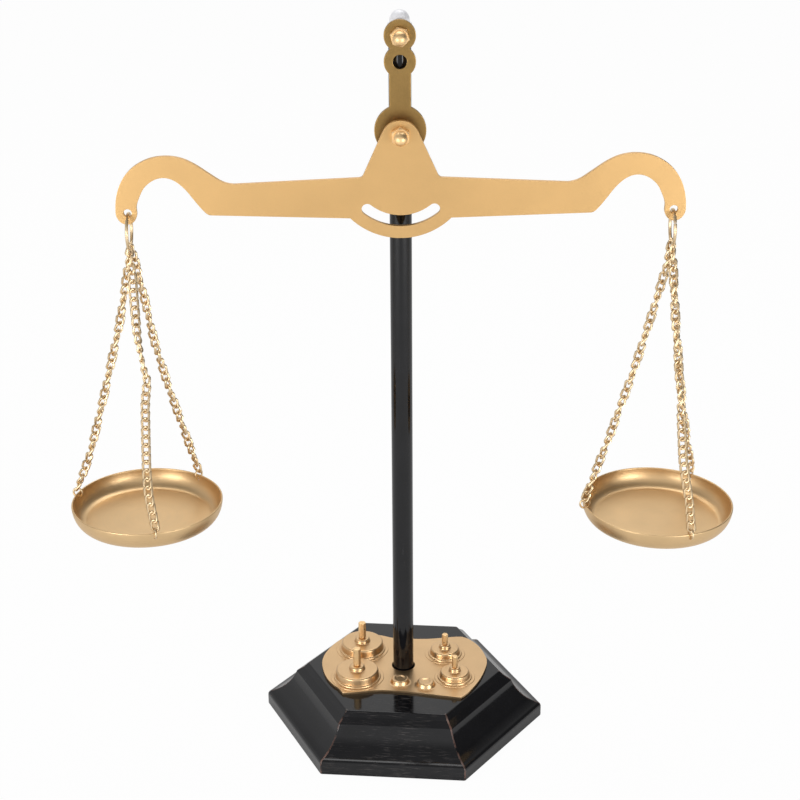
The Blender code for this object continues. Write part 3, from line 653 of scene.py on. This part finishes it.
def arris_finish(name, black, wood):
    """Edges where the lacquer is rubbed down to brown wood, and paler in places."""
    material, tree, surface, place = begin_material(name)
    wear = noise(tree, place, 210.0, 5.0, 0.7)
    pale = noise(tree, place, 95.0, 2.0)
    bare = blend(tree, spread(tree, pale, 0.55, 0.75), (*wood, 1.0), (0.3, 0.23, 0.2, 1.0))
    worn = blend(tree, spread(tree, wear, 0.4, 0.62), (*black, 1.0), bare)
    tree.links.new(worn, surface.inputs["Base Color"])
    tree.links.new(spread(tree, wear, 0.42, 0.56, 0.16, 0.5), surface.inputs["Roughness"])
    emboss(tree, surface, wear, 0.2, 0.1 * MM)
    return material


# ---------------------------------------------------------------- pieces


class BalanceOperator:
    """What every operator of the balance shares."""

    bl_options = {"REGISTER", "UNDO"}

    @classmethod
    def poll(cls, context):
        return context.scene is not None


class BALANCE_OT_block(BalanceOperator, bpy.types.Operator):
    """Build the lacquered hexagonal block"""

    bl_idname = "balance.block"
    bl_label = "Block"

    def execute(self, context):
        low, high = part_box("base_block")
        foot = BLOCK_CORNER
        rise = high.z - low.z
        lip = 5.0 * MM
        shoulder = arc((foot - 2 * MM, lip), 2 * MM, 0, math.radians(90), 5)
        shelf = (50.4 * MM, rise - 4.4 * MM)
        inward = Vector((-1, -1.1)).normalized() * 1.9 * MM
        steps = [i / 16 for i in range(1, 16)]
        cove = [tuple(Vector(shoulder[-1]).lerp(Vector(shelf), t) + inward * 4 * t * (1 - t)) for t in steps]
        # (corner radius, height) from the underside up
        levels = rounded([
            (foot - MM, 0), (foot, 0, 0.4 * MM), *shoulder, *cove, (*shelf, 0.9 * MM),
            (47.1 * MM, rise - 2.2 * MM, 0.8 * MM), (44.9 * MM, rise, 1.0 * MM), (44.0 * MM, rise),
        ], 4)
        obj = start("lacquered_block")
        bpy.ops.mesh.primitive_circle_add(vertices=6, radius=levels[0][0], fill_type="NGON")
        for (r0, z0), (r1, z1) in zip(levels, levels[1:]):
            bpy.ops.mesh.extrude_region_move(TRANSFORM_OT_translate={"value": (0, 0, z1 - z0)})
            bpy.ops.transform.resize(value=(r1 / r0, r1 / r0, 1))
        weld()
        bpy.ops.object.mode_set(mode="OBJECT")
        obj.data.materials.append(block_lacquer("block lacquer", colours().lacquer))
        obj.data.materials.append(arris_finish("block arris", colours().lacquer, colours().bare_wood))
        pick(obj, "EDGE", self.on_hip)
        bpy.ops.mesh.bevel(offset=sizes().arris, segments=2, affect="EDGES", material=1, loop_slide=False)
        weld()
        corner = max(obj.data.vertices, key=lambda v: v.co.x).co
        turn = BLOCK_TURN - math.atan2(corner.y, corner.x)
        apply_place(obj, Matrix.Translation((0, 0, low.z)) @ Matrix.Rotation(turn, 4, "Z"))
        bore = [
            (0, -MM), (6.5 * MM, -MM), (6.5 * MM, 6 * MM), (2.55 * MM, 6 * MM), (2.55 * MM, 10 * MM),
            (4.97 * MM, 10 * MM), (4.97 * MM, rise + MM), (0, rise + MM),
        ]
        combine(obj, spun("bore", bore, 48), "DIFFERENCE")
        settle(obj, "stand", "base_block", "block_lacquer", angle=35)
        return {"FINISHED"}

    def on_hip(self, a, b):
        """Whether an edge runs up one of the block's six corners."""
        turned = abs(math.atan2(a.x * b.y - a.y * b.x, a.x * b.x + a.y * b.y))
        return turned < math.radians(1) and (a - b).length > MM / 500


class BALANCE_OT_plate(BalanceOperator, bpy.types.Operator):
    """Build the pressed plate with its four discs and two buttons"""

    bl_idname = "balance.plate"
    bl_label = "Pressed plate"

    def execute(self, context):
        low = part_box("weights_plate")[0].z
        top, under = 0.8 * MM, 0.28 * MM  # the sheet's top, and how far it reaches down to lie on the block
        sunk = -0.4 * MM
        outline = []
        for i, edge in enumerate(PLATE_EDGES):
            after = PLATE_EDGES[(i + 1) % len(PLATE_EDGES)][0]
            outline += curved(in_metres((edge[0], *edge, after, after)), 4)
        sheet = plate("pressed_plate", outline, [circle(0, 0, 5.4 * MM, 48)], top + under, 0.4 * MM)
        apply_place(sheet, Matrix.Translation((0, 0, -under)))
        parts = [sheet]
        pad = sizes().pad_height
        for x, y, radius, rise, foot, boss in DISCS.values():
            disc, seat = rise * MM, (rise + 1.9) * MM
            radius, foot, boss = radius * MM, foot * MM, boss * MM
            wide = radius + (foot - radius) * 0.3
            profile = rounded([
                (0, sunk), (foot + 1.6 * MM, sunk), (foot + 1.6 * MM, pad, 0.25 * MM),
                (foot + 0.1 * MM, pad, 0.2 * MM), (foot, 0.7 * MM, 0.22 * MM), (wide, 0.8 * MM, 0.3 * MM),
                (radius, disc, 0.9 * MM), (boss + 0.1 * MM, disc, 0.4 * MM), (boss, seat, 0.9 * MM),
                (0, seat),
            ])
            parts.append(self.bump(x, y, top, profile))
        button = rounded([
            (0, sunk), (5.3 * MM, sunk), (5.3 * MM, 0.05 * MM), (4.3 * MM, 0.1 * MM, 0.5 * MM),
            (3.7 * MM, 2.2 * MM, 0.7 * MM), (2.4 * MM, 2.2 * MM, 0.4 * MM), (1.6 * MM, 1.95 * MM, 0.4 * MM),
            (0, 1.95 * MM),
        ])
        parts += [self.bump(x, y, top, button) for x, y in BUTTONS]
        obj = joined(parts)
        apply_place(obj, on_block(0, 0, low))
        finish = metal("plate brass", colours().plate, 0.34, 3200.0, 60.0, 0.035)
        settle(obj, "stand", "weights_plate", "plate_brass", finish)
        return {"FINISHED"}

    def bump(self, x, y, top, profile):
        """A raised shape whose profile is measured from the sheet's top."""
        obj = spun("bump", profile, 56)
        apply_place(obj, Matrix.Translation((x * MM, y * MM, top)))
        return obj


class BALANCE_OT_knobs(BalanceOperator, bpy.types.Operator):
    """Build the hexagonal knobs that stand on the discs"""

    bl_idname = "balance.knobs"
    bl_label = "Knobs"

    def execute(self, context):
        finish = nut_finish("knob brass", colours().nut)
        for name in DISCS:
            node = f"weight_knob_{name}"
            low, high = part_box(node)
            corner = (high.x - low.x) / 2
            spigot = corner - 0.6 * MM
            seat = low.z + 2.3 * MM
            profile = [
                (0, low.z), (spigot, low.z), (spigot, seat), (corner, seat), (corner, high.z), (0, high.z),
            ]
            obj = spun(node.replace("weight_", ""), profile, 6)
            round_edges(0.16 * MM, 35)
            bpy.ops.object.mode_set(mode="OBJECT")
            centre = middle(node)
            apply_place(obj, on_block(centre.x, centre.y, 0))
            settle(obj, "stand", node, "knob_brass", finish, angle=30)
        return {"FINISHED"}


class BALANCE_OT_post(BalanceOperator, bpy.types.Operator):
    """Build the black tube, its cap and the plug, screw and washer that hold it down"""

    bl_idname = "balance.post"
    bl_label = "Post"

    def execute(self, context):
        low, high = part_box("post_tube")
        tube = spun("post", rounded([
            (POST_RADIUS, low.z, 0.2 * MM), (POST_RADIUS, high.z, 0.3 * MM), (POST_BORE, high.z, 0.1 * MM),
            (POST_BORE, low.z, 0.1 * MM),
        ]), 72)
        for bolt in ("top_bolt", "pivot_bolt"):
            drilled(tube, BOLT_HOLE, -9 * MM, 9 * MM, to_front(bolt))
        black = lacquer("post lacquer", colours().lacquer, (1, 1, 0.03), 0.25, (0.03, 0.03, 0.032, 1))[0]
        settle(tube, "stand", "post_tube", "post_lacquer", black)
        self.build_cap()
        self.build_fixings()
        return {"FINISHED"}

    def build_cap(self):
        """A pale dome over a rim, with a plug that the top bolt passes through."""
        low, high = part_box("post_cap")
        rim = high.z - 6.15 * MM
        skirt = rounded([
            (0, low.z), (PLUG_RADIUS, low.z, 0.3 * MM), (PLUG_RADIUS, rim), (4.95 * MM, rim, 0.15 * MM),
            (4.95 * MM, rim + 0.7 * MM, 0.3 * MM), (4.3 * MM, rim + 1.1 * MM, 0.3 * MM),
        ])[:-1]
        dome = arc((0, rim + 2.1 * MM), 4.05 * MM, math.radians(-8), math.radians(90), 14)[:-1]
        cap = spun("cap", skirt + dome + [(0, high.z)], 72)
        drilled(cap, BOLT_HOLE, -9 * MM, 9 * MM, to_front("top_bolt"))
        silver = metal("cap chrome", colours().chrome, 0.42, 3000.0, 200.0, 0.02, 0.03)
        silver.node_tree.nodes["Principled BSDF"].inputs["Metallic"].default_value = 0.2
        settle(cap, "stand", "post_cap", "cap_chrome", silver)

    def build_fixings(self):
        """The plug in the post's foot, and the screw and washer under the block."""
        grey = metal("fixing steel", colours().steel, 0.33, 1800.0, 160.0, 0.1)
        low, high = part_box("post_plug")
        plug = spun("post_plug_bored", rounded([
            (PLUG_RADIUS, low.z, 0.3 * MM), (PLUG_RADIUS, high.z, 0.3 * MM), (0, high.z), (0, low.z + 16 * MM),
            (BOLT_HOLE, low.z + 16 * MM), (BOLT_HOLE, low.z, 0.2 * MM),
        ]), 48)
        settle(plug, "stand", "post_plug", "fixing_steel", grey)
        low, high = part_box("post_washer")
        washer = sleeve("post_washer_flat", 5.5 * MM, low.z, high.z, 0.2 * MM)
        settle(washer, "stand", "post_washer", "fixing_steel", grey)
        low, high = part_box("post_screw")
        screw = slotted_screw("post_screw_slotted", 3.8 * MM, 0.7 * MM, low.z, high.z)
        settle(screw, "stand", "post_screw", "fixing_steel", grey)


class BALANCE_OT_hanger(BalanceOperator, bpy.types.Operator):
    """Build the bronze hanger plate"""

    bl_idname = "balance.hanger"
    bl_label = "Hanger plate"

    def execute(self, context):
        top = middle("top_bolt").z - middle("pivot_bolt").z
        eye = top - 10.5 * MM
        head, stem, disc = 6.5 * MM, 4.35 * MM, 10.65 * MM
        waist = math.acos((top - eye) / 2 / head)
        shoulder = math.acos(stem / head)
        hip = math.acos(stem / disc)
        quarter = math.radians(90)
        half = arc((0, top), head, quarter, waist - quarter, 22)
        half += arc((0, eye), head, quarter - waist, -shoulder, 18)[1:]
        half += arc((0, 0), disc, hip, -quarter, 32)
        holes = [circle(0, top, BOLT_HOLE, 32), circle(0, eye, 2.85 * MM, 40), circle(0, 0, BOLT_HOLE, 32)]
        low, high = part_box("hanger_plate")
        obj = plate("hanger", mirrored(half), holes, high.y - low.y, sizes().plate_edge)
        apply_place(obj, to_front("pivot_bolt", high.y))
        bronze = metal("hanger bronze", colours().hanger, 0.38, 2600.0, 45.0, 0.06, 0.08, (1, 1, 0.35))
        settle(obj, "stand", "hanger_plate", "hanger_bronze", bronze)
        return {"FINISHED"}


class BALANCE_OT_bolts(BalanceOperator, bpy.types.Operator):
    """Build the two bolts, their domed nuts and the spacer behind the beam"""

    bl_idname = "balance.bolts"
    bl_label = "Bolts and nuts"

    def execute(self, context):
        gold = nut_finish("nut brass", colours().nut)
        grey = metal("bolt steel", colours().steel, 0.3, 1800.0, 160.0, 0.1)
        for name, turn in (("top", math.radians(-15)), ("pivot", math.radians(30))):
            low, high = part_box(f"{name}_bolt")
            place = to_front(f"{name}_bolt")
            bolt = slotted_screw(f"{name}_bolt_slotted", 3.6 * MM, 1.0 * MM, -high.y, -low.y)
            apply_place(bolt, place)
            settle(bolt, "stand", f"{name}_bolt", "fixing_steel", grey)
            self.build_nut(name, turn, place, gold)
        low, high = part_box("pivot_spacer")
        spacer = sleeve("spacer", 3.5 * MM, -high.y, -low.y, 0.25 * MM)
        apply_place(spacer, to_front("pivot_spacer"))
        settle(spacer, "stand", "pivot_spacer", "nut_brass", gold)
        return {"FINISHED"}

    def build_nut(self, name, turn, place, finish):
        """A hexagon with bevelled corners under a round dome, bored for the bolt."""
        low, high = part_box(f"{name}_cap_nut")
        seat, tip = -high.y, -low.y
        corner, shoulder, bulge = 7.0 * MM / math.sqrt(3), seat + 3.2 * MM, 2.95 * MM
        hexagon = spun(f"{name}_nut", [(0, seat), (corner, seat), (corner, shoulder), (0, shoulder)], 6)
        bpy.ops.object.mode_set(mode="OBJECT")
        apply_place(hexagon, Matrix.Rotation(turn, 4, "Z"))
        cone = spun("cone", [
            (0, seat - MM), (3.75 * MM, seat - MM), (3.75 * MM, seat + 0.05 * MM), (4.3 * MM, seat + 0.4 * MM),
            (4.3 * MM, shoulder - 0.65 * MM), (3.45 * MM, shoulder - 0.12 * MM), (3.3 * MM, shoulder + MM),
            (0, shoulder + MM),
        ], 48)
        combine(hexagon, cone, "INTERSECT")
        dome = arc((0, tip - bulge), bulge, 0, math.radians(90), 12)[:-1]
        dome = [(0, shoulder - 0.5 * MM), (bulge, shoulder - 0.5 * MM), *dome, (0, tip)]
        combine(hexagon, spun("dome", dome, 48), "UNION")
        drilled(hexagon, BOLT_HOLE, seat - MM, seat + 5.6 * MM)
        select_only(hexagon)
        bevel = hexagon.modifiers.new("rounding", "BEVEL")
        bevel.width = 0.12 * MM
        bevel.segments = 2
        bevel.limit_method = "ANGLE"
        bevel.angle_limit = math.radians(28)
        bpy.ops.object.modifier_apply(modifier=bevel.name)
        apply_place(hexagon, place)
        settle(hexagon, "stand", f"{name}_cap_nut", "nut_brass", finish, angle=35)


class BALANCE_OT_beam(BalanceOperator, bpy.types.Operator):
    """Build the flat beam with its swan necks and curved slot"""

    bl_idname = "balance.beam"
    bl_label = "Beam"

    def outline(self):
        """The right half from the apex down to the bulge, mirrored, in millimetres."""
        apex, apex_radius = (0, -1.8), 7.9
        neck = (15.75, -17.6)
        arm_top, arm_foot, *hook = (
            (HALF_SPAN + x, y - HOOK_DROP) for x, y in (ARM_TOP_END, ARM_FOOT_END, *SWAN_NECK)
        )
        reach = Vector(neck) - Vector(apex)
        tangent = math.atan2(reach.y, reach.x) + math.acos(apex_radius / reach.length)
        half = arc(apex, apex_radius, math.radians(90), tangent, 18)
        half += filleted(half[-1], neck, arm_top, 2.0, 6)
        lead_in = towards(arm_top, neck, ARM_LEAD)
        lead_out = towards(arm_foot, (BULGE_REACH, arm_foot[1]), ARM_LEAD)
        half += curved([lead_in, arm_top, *hook, arm_foot, lead_out], 4)
        half.append(arm_foot)
        half += arc(BULGE_CENTRE, BULGE_RADIUS, -math.acos(BULGE_REACH / BULGE_RADIUS), -math.radians(90), 20)
        return mirrored(half)

    def slot(self):
        """The curved slot above the bulge, in millimetres."""
        centre, radius, half_width = BULGE_CENTRE, 21.9, 2.35
        low, high = math.radians(-129), math.radians(-51)
        ends = [arc(centre, radius, angle, angle, 1)[0] for angle in (low, high)]
        points = arc(centre, radius + half_width, low, high, 26)
        points += arc(ends[1], half_width, high, high + math.pi, 12)[1:-1]
        points += arc(centre, radius - half_width, high, low, 26)
        points += arc(ends[0], half_width, low + math.pi, low + math.tau, 12)[1:-1]
        return points

    def execute(self, context):
        low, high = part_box("balance_beam")
        holes = [circle(0, 0, BOLT_HOLE, 36), in_metres(self.slot())]
        holes += [circle(sign * HALF_SPAN * MM, -HOOK_DROP * MM, 1.72 * MM, 30) for sign in SIDES.values()]
        obj = plate("beam", in_metres(self.outline()), holes, high.y - low.y, sizes().plate_edge)
        apply_place(obj, to_front("pivot_bolt", high.y))
        gold = metal("beam brass", colours().beam, 0.4, 3000.0, 22.0, 0.02, 0.06, (0.6, 1, 1))
        settle(obj, "beam", "balance_beam", "beam_brass", gold)
        return {"FINISHED"}


class BALANCE_OT_rings(BalanceOperator, bpy.types.Operator):
    """Build the split rings in the beam's hooks and the small rings in the pans' rims"""

    bl_idname = "balance.rings"
    bl_label = "Rings"

    def execute(self, context):
        gold = metal("ring brass", colours().chain, 0.4, 3000.0, 220.0, 0.04, 0.03)
        for side in SIDES:
            node = f"split_ring_{side}"
            low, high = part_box(node)
            radius = (high.z - low.z) / 2 - RING_WIRE
            obj = start(f"ring_{side}")
            bpy.ops.mesh.primitive_circle_add(
                vertices=16, radius=RING_WIRE, location=(0, -radius, 0), rotation=(0, 0, 0), fill_type="NOTHING"
            )
            gap = 0.35 * MM / radius
            cut = math.radians(150) if side == "left" else math.radians(30)
            bpy.ops.mesh.spin(steps=88, angle=math.tau - gap, center=(0, 0, 0), axis=(1, 0, 0))
            self.cap_ends()
            weld()
            round_edges(0.12 * MM, 60)
            bpy.ops.object.mode_set(mode="OBJECT")
            apply_place(obj, Matrix.Translation(middle(node)) @ Matrix.Rotation(-cut - gap / 2, 4, "X"))
            settle(obj, f"ring_{side}", node, "ring_brass", gold)
            for i in range(len(CHAIN_FANS)):
                self.build_jump_ring(side, i + 1, gold)
        return {"FINISHED"}

    def cap_ends(self):
        """Closes the two open ends of a bent wire."""
        bpy.ops.mesh.select_all(action="DESELECT")
        bpy.ops.mesh.select_mode(type="EDGE")
        bpy.ops.mesh.select_non_manifold(extend=False)
        bpy.ops.mesh.fill_holes(sides=0)
        bpy.ops.mesh.select_mode(type="VERT")

    def build_jump_ring(self, side, number, finish):
        """A small closed ring that stands across the pan's rim."""
        node = f"jump_ring_{side}_{number}"
        centre = middle(node)
        pan = middle(f"weighing_pan_{side}")
        outward = math.atan2(centre.y - pan.y, centre.x - pan.x)
        obj = start(node.replace("jump", "rim"))
        bpy.ops.mesh.primitive_torus_add(
            major_segments=32, minor_segments=10, major_radius=RIM_RING, minor_radius=RIM_RING_WIRE,
            rotation=(math.radians(90), 0, 0), location=(0, 0, 0),
        )
        bpy.ops.object.mode_set(mode="OBJECT")
        apply_place(obj, Matrix.Translation(centre) @ pan_lean(side) @ Matrix.Rotation(outward, 4, "Z"))
        settle(obj, f"pan_{side}", node, "chain_brass", finish)


def pan_lean(side):
    """The turn of a pan that hangs slightly askew."""
    to_right, to_front = PAN_LEANS[side]
    return Matrix.Rotation(to_right, 4, "Y") @ Matrix.Rotation(to_front, 4, "X")


class BALANCE_OT_pans(BalanceOperator, bpy.types.Operator):
    """Build the two spun pans, each with three holes under its rim"""

    bl_idname = "balance.pans"
    bl_label = "Pans"

    def execute(self, context):
        wall = sizes().pan_wall
        floor = PAN_RADIUS - PAN_SIDE
        side_arc = arc((0, 0), 1, math.radians(-90), 0, 16)
        outside = [(floor + r * PAN_SIDE, z * PAN_DEPTH) for r, z in side_arc]
        inside = [(floor + r * (PAN_SIDE - wall), z * (PAN_DEPTH - wall)) for r, z in side_arc]
        rim = arc((PAN_RADIUS - wall / 2, -wall / 2), wall / 2, 0, math.pi, 6)
        profile = [(0, -PAN_DEPTH)] + outside[:-1] + rim + inside[-2::-1] + [(0, wall - PAN_DEPTH)]
        for side in SIDES:
            ring = middle(f"split_ring_{side}")
            centre = Vector((ring.x, ring.y, ring.z - PAN_DROPS[side]))
            obj = spun(f"pan_{side}", profile, 96)
            apply_place(obj, Matrix.Translation(centre) @ pan_lean(side))
            for i in range(len(CHAIN_FANS)):
                jump = middle(f"jump_ring_{side}_{i + 1}")
                outward = Vector((jump.x - centre.x, jump.y - centre.y, 0)).normalized()
                spot = Matrix.Translation(jump - Vector((0, 0, RIM_RING)))
                turn = Vector((0, 0, 1)).rotation_difference(outward).to_matrix().to_4x4()
                drilled(obj, 0.75 * MM, -3 * MM, 3 * MM, spot @ turn, 20)
            finish = pan_finish(f"pan brass {side}", centre, colours().pan)
            settle(obj, f"pan_{side}", f"weighing_pan_{side}", "pan_brass", finish, angle=50)
        return {"FINISHED"}


class BALANCE_OT_chains(BalanceOperator, bpy.types.Operator):
    """Build the six curb chains, link by link"""

    bl_idname = "balance.chains"
    bl_label = "Chains"

    def execute(self, context):
        gold = metal("chain brass", colours().chain, 0.36, 3000.0, 300.0, 0.06, 0.03)
        link = self.build_link()
        for side in SIDES:
            ring = middle(f"split_ring_{side}")
            low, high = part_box(f"split_ring_{side}")
            reach = (high.z - low.z) / 2 - RING_WIRE
            for i, fan in enumerate(CHAIN_FANS):
                name = f"{side}_{i + 1}"
                top = ring + Vector((0, math.sin(fan), -math.cos(fan))) * reach
                foot = middle(f"jump_ring_{name}") + Vector((0, 0, RIM_RING))
                chain = self.build_chain(name, link, top, foot)
                settle(chain, f"pan_{side}", f"chain_{name}", "chain_brass", gold, angle=60)
        bpy.data.objects.remove(link)
        return {"FINISHED"}

    def build_link(self):
        """One oval link along Z, twisted from end to end."""
        values = sizes()
        wire = values.link_wire
        half_width = values.link_width / 2 - wire
        straight = values.link_length / 2 - wire - half_width
        segments = 12
        obj = start("link")
        bpy.ops.mesh.primitive_torus_add(
            major_segments=segments, minor_segments=6, major_radius=half_width, minor_radius=wire,
            rotation=(math.radians(90), 0, 0),
        )
        bpy.ops.transform.rotate(value=math.pi / segments, orient_axis="Y", center_override=(0, 0, 0))
        for way in (-1, 1):
            pick(obj, "VERT", lambda place: place.z * way > 0)
            bpy.ops.transform.translate(value=(0, 0, way * straight))
        select_only(obj)
        twist = obj.modifiers.new("twist", "SIMPLE_DEFORM")
        twist.deform_method = "TWIST"
        twist.deform_axis = "Z"
        twist.angle = values.link_twist
        bpy.ops.object.modifier_apply(modifier=twist.name)
        return obj

    def build_chain(self, name, link, top, foot):
        """Copies of the link hung from the split ring's wire down to the small ring's wire."""
        values = sizes()
        wire = values.link_wire
        end = values.link_length / 2 - wire
        way = (foot - top).normalized()
        first = top + way * (end - RING_WIRE - wire)
        last = foot - way * (end - RIM_RING_WIRE - wire)
        pitch = values.link_length - 4 * wire
        count = round((last - first).length / pitch) + 1
        shares = [i / (count - 1) for i in range(count)]
        spots = [first.lerp(last, t) + Vector((follow(SWERVES[name], t) * MM, 0, 0)) for t in shares]
        copies = []
        for t, before, spot, after in zip(shares, spots[:1] + spots, spots, spots[1:] + spots[-1:]):
            turn = Vector((0, 0, -1)).rotation_difference((after - before).normalized()).to_matrix().to_4x4()
            roll = math.radians(follow(ROLLS[name], t))
            copy = link.copy()
            copy.data = link.data.copy()
            bpy.context.scene.collection.objects.link(copy)
            copy.matrix_world = Matrix.Translation(spot) @ turn @ Matrix.Rotation(roll, 4, "Z")
            copies.append(copy)
        chain = joined(copies)
        chain.name = f"curb_chain_{name}"
        bpy.ops.object.transform_apply(location=True, rotation=True, scale=True)
        return chain


def follow(steps, t):
    """The value at t on a line through (t, value) steps."""
    for (t0, v0), (t1, v1) in zip(steps, steps[1:]):
        if t <= t1:
            return v0 + (v1 - v0) * (t - t0) / (t1 - t0)
    return steps[-1][1]


# ---------------------------------------------------------------- studio


class BALANCE_OT_stage(BalanceOperator, bpy.types.Operator):
    """Set up the floor, the lamps, the world and the camera"""

    bl_idname = "balance.stage"
    bl_label = "Stage"

    def execute(self, context):
        self.build_floor()
        self.build_world(context)
        for side, sign in SIDES.items():
            self.build_lamp(f"{side} softbox", (sign * 0.58, -0.68, 0.18), 0.46, 0.32, 3.1)
        self.build_lamp("top softbox", (0.0, 0.55, 1.2), 1.0, 0.6, 5.0)
        self.build_camera(context)
        context.scene.view_settings.view_transform = "Standard"
        return {"FINISHED"}

    def build_floor(self):
        """A floor that is nearly pure white to the camera and greyer in reflections, and takes shadows."""
        obj = start("floor")
        bpy.ops.mesh.primitive_plane_add(size=30, location=(0, 0, 0))
        bpy.ops.object.mode_set(mode="OBJECT")
        material = bpy.data.materials.new("floor paint")
        material.use_nodes = True
        tree = material.node_tree
        tree.nodes.remove(tree.nodes["Principled BSDF"])
        path = put(tree, "ShaderNodeLightPath").outputs
        seen = math_node(tree, "MAXIMUM", path["Is Camera Ray"], path["Is Transmission Ray"])
        seen = math_node(tree, "MULTIPLY", seen, 0.97)
        shown = math_node(tree, "ADD", seen, math_node(tree, "MULTIPLY", path["Is Glossy Ray"], 0.36))
        matt = put(tree, "ShaderNodeBsdfDiffuse", {"Color": (*colours().floor, 1)}).outputs[0]
        white = put(tree, "ShaderNodeEmission", {"Color": (1, 1, 1, 1), "Strength": 1.0}).outputs[0]
        mix = put(tree, "ShaderNodeMixShader", {0: shown, 1: matt, 2: white})
        tree.links.new(mix.outputs[0], tree.nodes["Material Output"].inputs["Surface"])
        obj.data.materials.append(material)

    def build_world(self, context):
        """White all round and darker overhead, as in a room with a white table and backdrop."""
        world = bpy.data.worlds.new("studio")
        context.scene.world = world
        world.use_nodes = True
        tree = world.node_tree
        way = put(tree, "ShaderNodeTexCoord").outputs["Generated"]
        parts = put(tree, "ShaderNodeSeparateXYZ", {0: way}).outputs
        ramp = put(tree, "ShaderNodeValToRGB", {0: spread(tree, parts["X"], -1.0, 1.0)})
        stops = ((0.0, 0.62), (0.3, 0.66), (0.5, 0.95), (0.65, 0.7), (0.86, 0.13), (1.0, 0.13))
        while len(ramp.color_ramp.elements) < len(stops):
            ramp.color_ramp.elements.new(1.0)
        for element, (place, level) in zip(ramp.color_ramp.elements, stops):
            element.position = place
            element.color = (level, level, level, 1)
        overhead = spread(tree, parts["Z"], 0.5, 0.82, 1.0, 0.4)
        level = math_node(tree, "MULTIPLY", ramp.outputs[0], overhead)
        path = put(tree, "ShaderNodeLightPath").outputs
        direct = math_node(tree, "MAXIMUM", path["Is Camera Ray"], level)
        background = tree.nodes["Background"]
        tree.links.new(direct, background.inputs["Strength"])
        background.inputs["Color"].default_value = (1, 1, 1, 1)

    def build_lamp(self, name, place, width, height, power):
        light = bpy.data.lights.new(name, "AREA")
        light.shape = "RECTANGLE"
        light.size = width
        light.size_y = height
        light.energy = power
        obj = bpy.data.objects.new(name, light)
        bpy.context.scene.collection.objects.link(obj)
        aim = Vector((0, 0, 0.12)) - Vector(place)
        obj.rotation_euler = aim.to_track_quat("-Z", "Y").to_euler()
        obj.location = place

    def build_camera(self, context):
        data = bpy.data.cameras.new("camera")
        data.lens = 81.4
        data.sensor_width = 36.0
        obj = bpy.data.objects.new("camera", data)
        context.scene.collection.objects.link(obj)
        right = Vector((0.99996, -0.00622, -0.00595))
        up = Vector((0.00791, 0.39324, 0.91940))
        forward = Vector((0.00338, 0.91942, -0.39300))
        turn = Matrix((right, up, -forward)).transposed().to_4x4()
        obj.matrix_world = Matrix.Translation((-0.00348, -0.72752, 0.46950)) @ turn
        context.scene.camera = obj


class BALANCE_PT_panel(bpy.types.Panel):
    """The balance's sizes, colours and pieces"""

    bl_idname = "BALANCE_PT_panel"
    bl_label = "Brass Balance"
    bl_space_type = "VIEW_3D"
    bl_region_type = "UI"
    bl_category = "Balance"

    def draw(self, context):
        layout = self.layout
        for settings in (context.scene.balance_sizes, context.scene.balance_colours):
            for key in settings.__annotations__:
                layout.prop(settings, key)
        for operator in OPERATORS:
            layout.operator(operator.bl_idname)


OPERATORS = (
    BALANCE_OT_stage,
    BALANCE_OT_block,
    BALANCE_OT_plate,
    BALANCE_OT_knobs,
    BALANCE_OT_post,
    BALANCE_OT_hanger,
    BALANCE_OT_bolts,
    BALANCE_OT_beam,
    BALANCE_OT_rings,
    BALANCE_OT_pans,
    BALANCE_OT_chains,
)
CLASSES = (BalanceSizes, BalanceColours, *OPERATORS, BALANCE_PT_panel)


def register():
    for cls in CLASSES:
        bpy.utils.register_class(cls)
    bpy.types.Scene.balance_sizes = bpy.props.PointerProperty(type=BalanceSizes)
    bpy.types.Scene.balance_colours = bpy.props.PointerProperty(type=BalanceColours)


def unregister():
    del bpy.types.Scene.balance_colours
    del bpy.types.Scene.balance_sizes
    for cls in reversed(CLASSES):
        bpy.utils.unregister_class(cls)


def main():
    register()
    bpy.ops.balance.stage()
    bpy.ops.balance.block()
    bpy.ops.balance.plate()
    bpy.ops.balance.knobs()
    bpy.ops.balance.post()
    bpy.ops.balance.hanger()
    bpy.ops.balance.bolts()
    bpy.ops.balance.beam()
    bpy.ops.balance.rings()
    bpy.ops.balance.pans()
    bpy.ops.balance.chains()


if __name__ == "__main__":
    main()
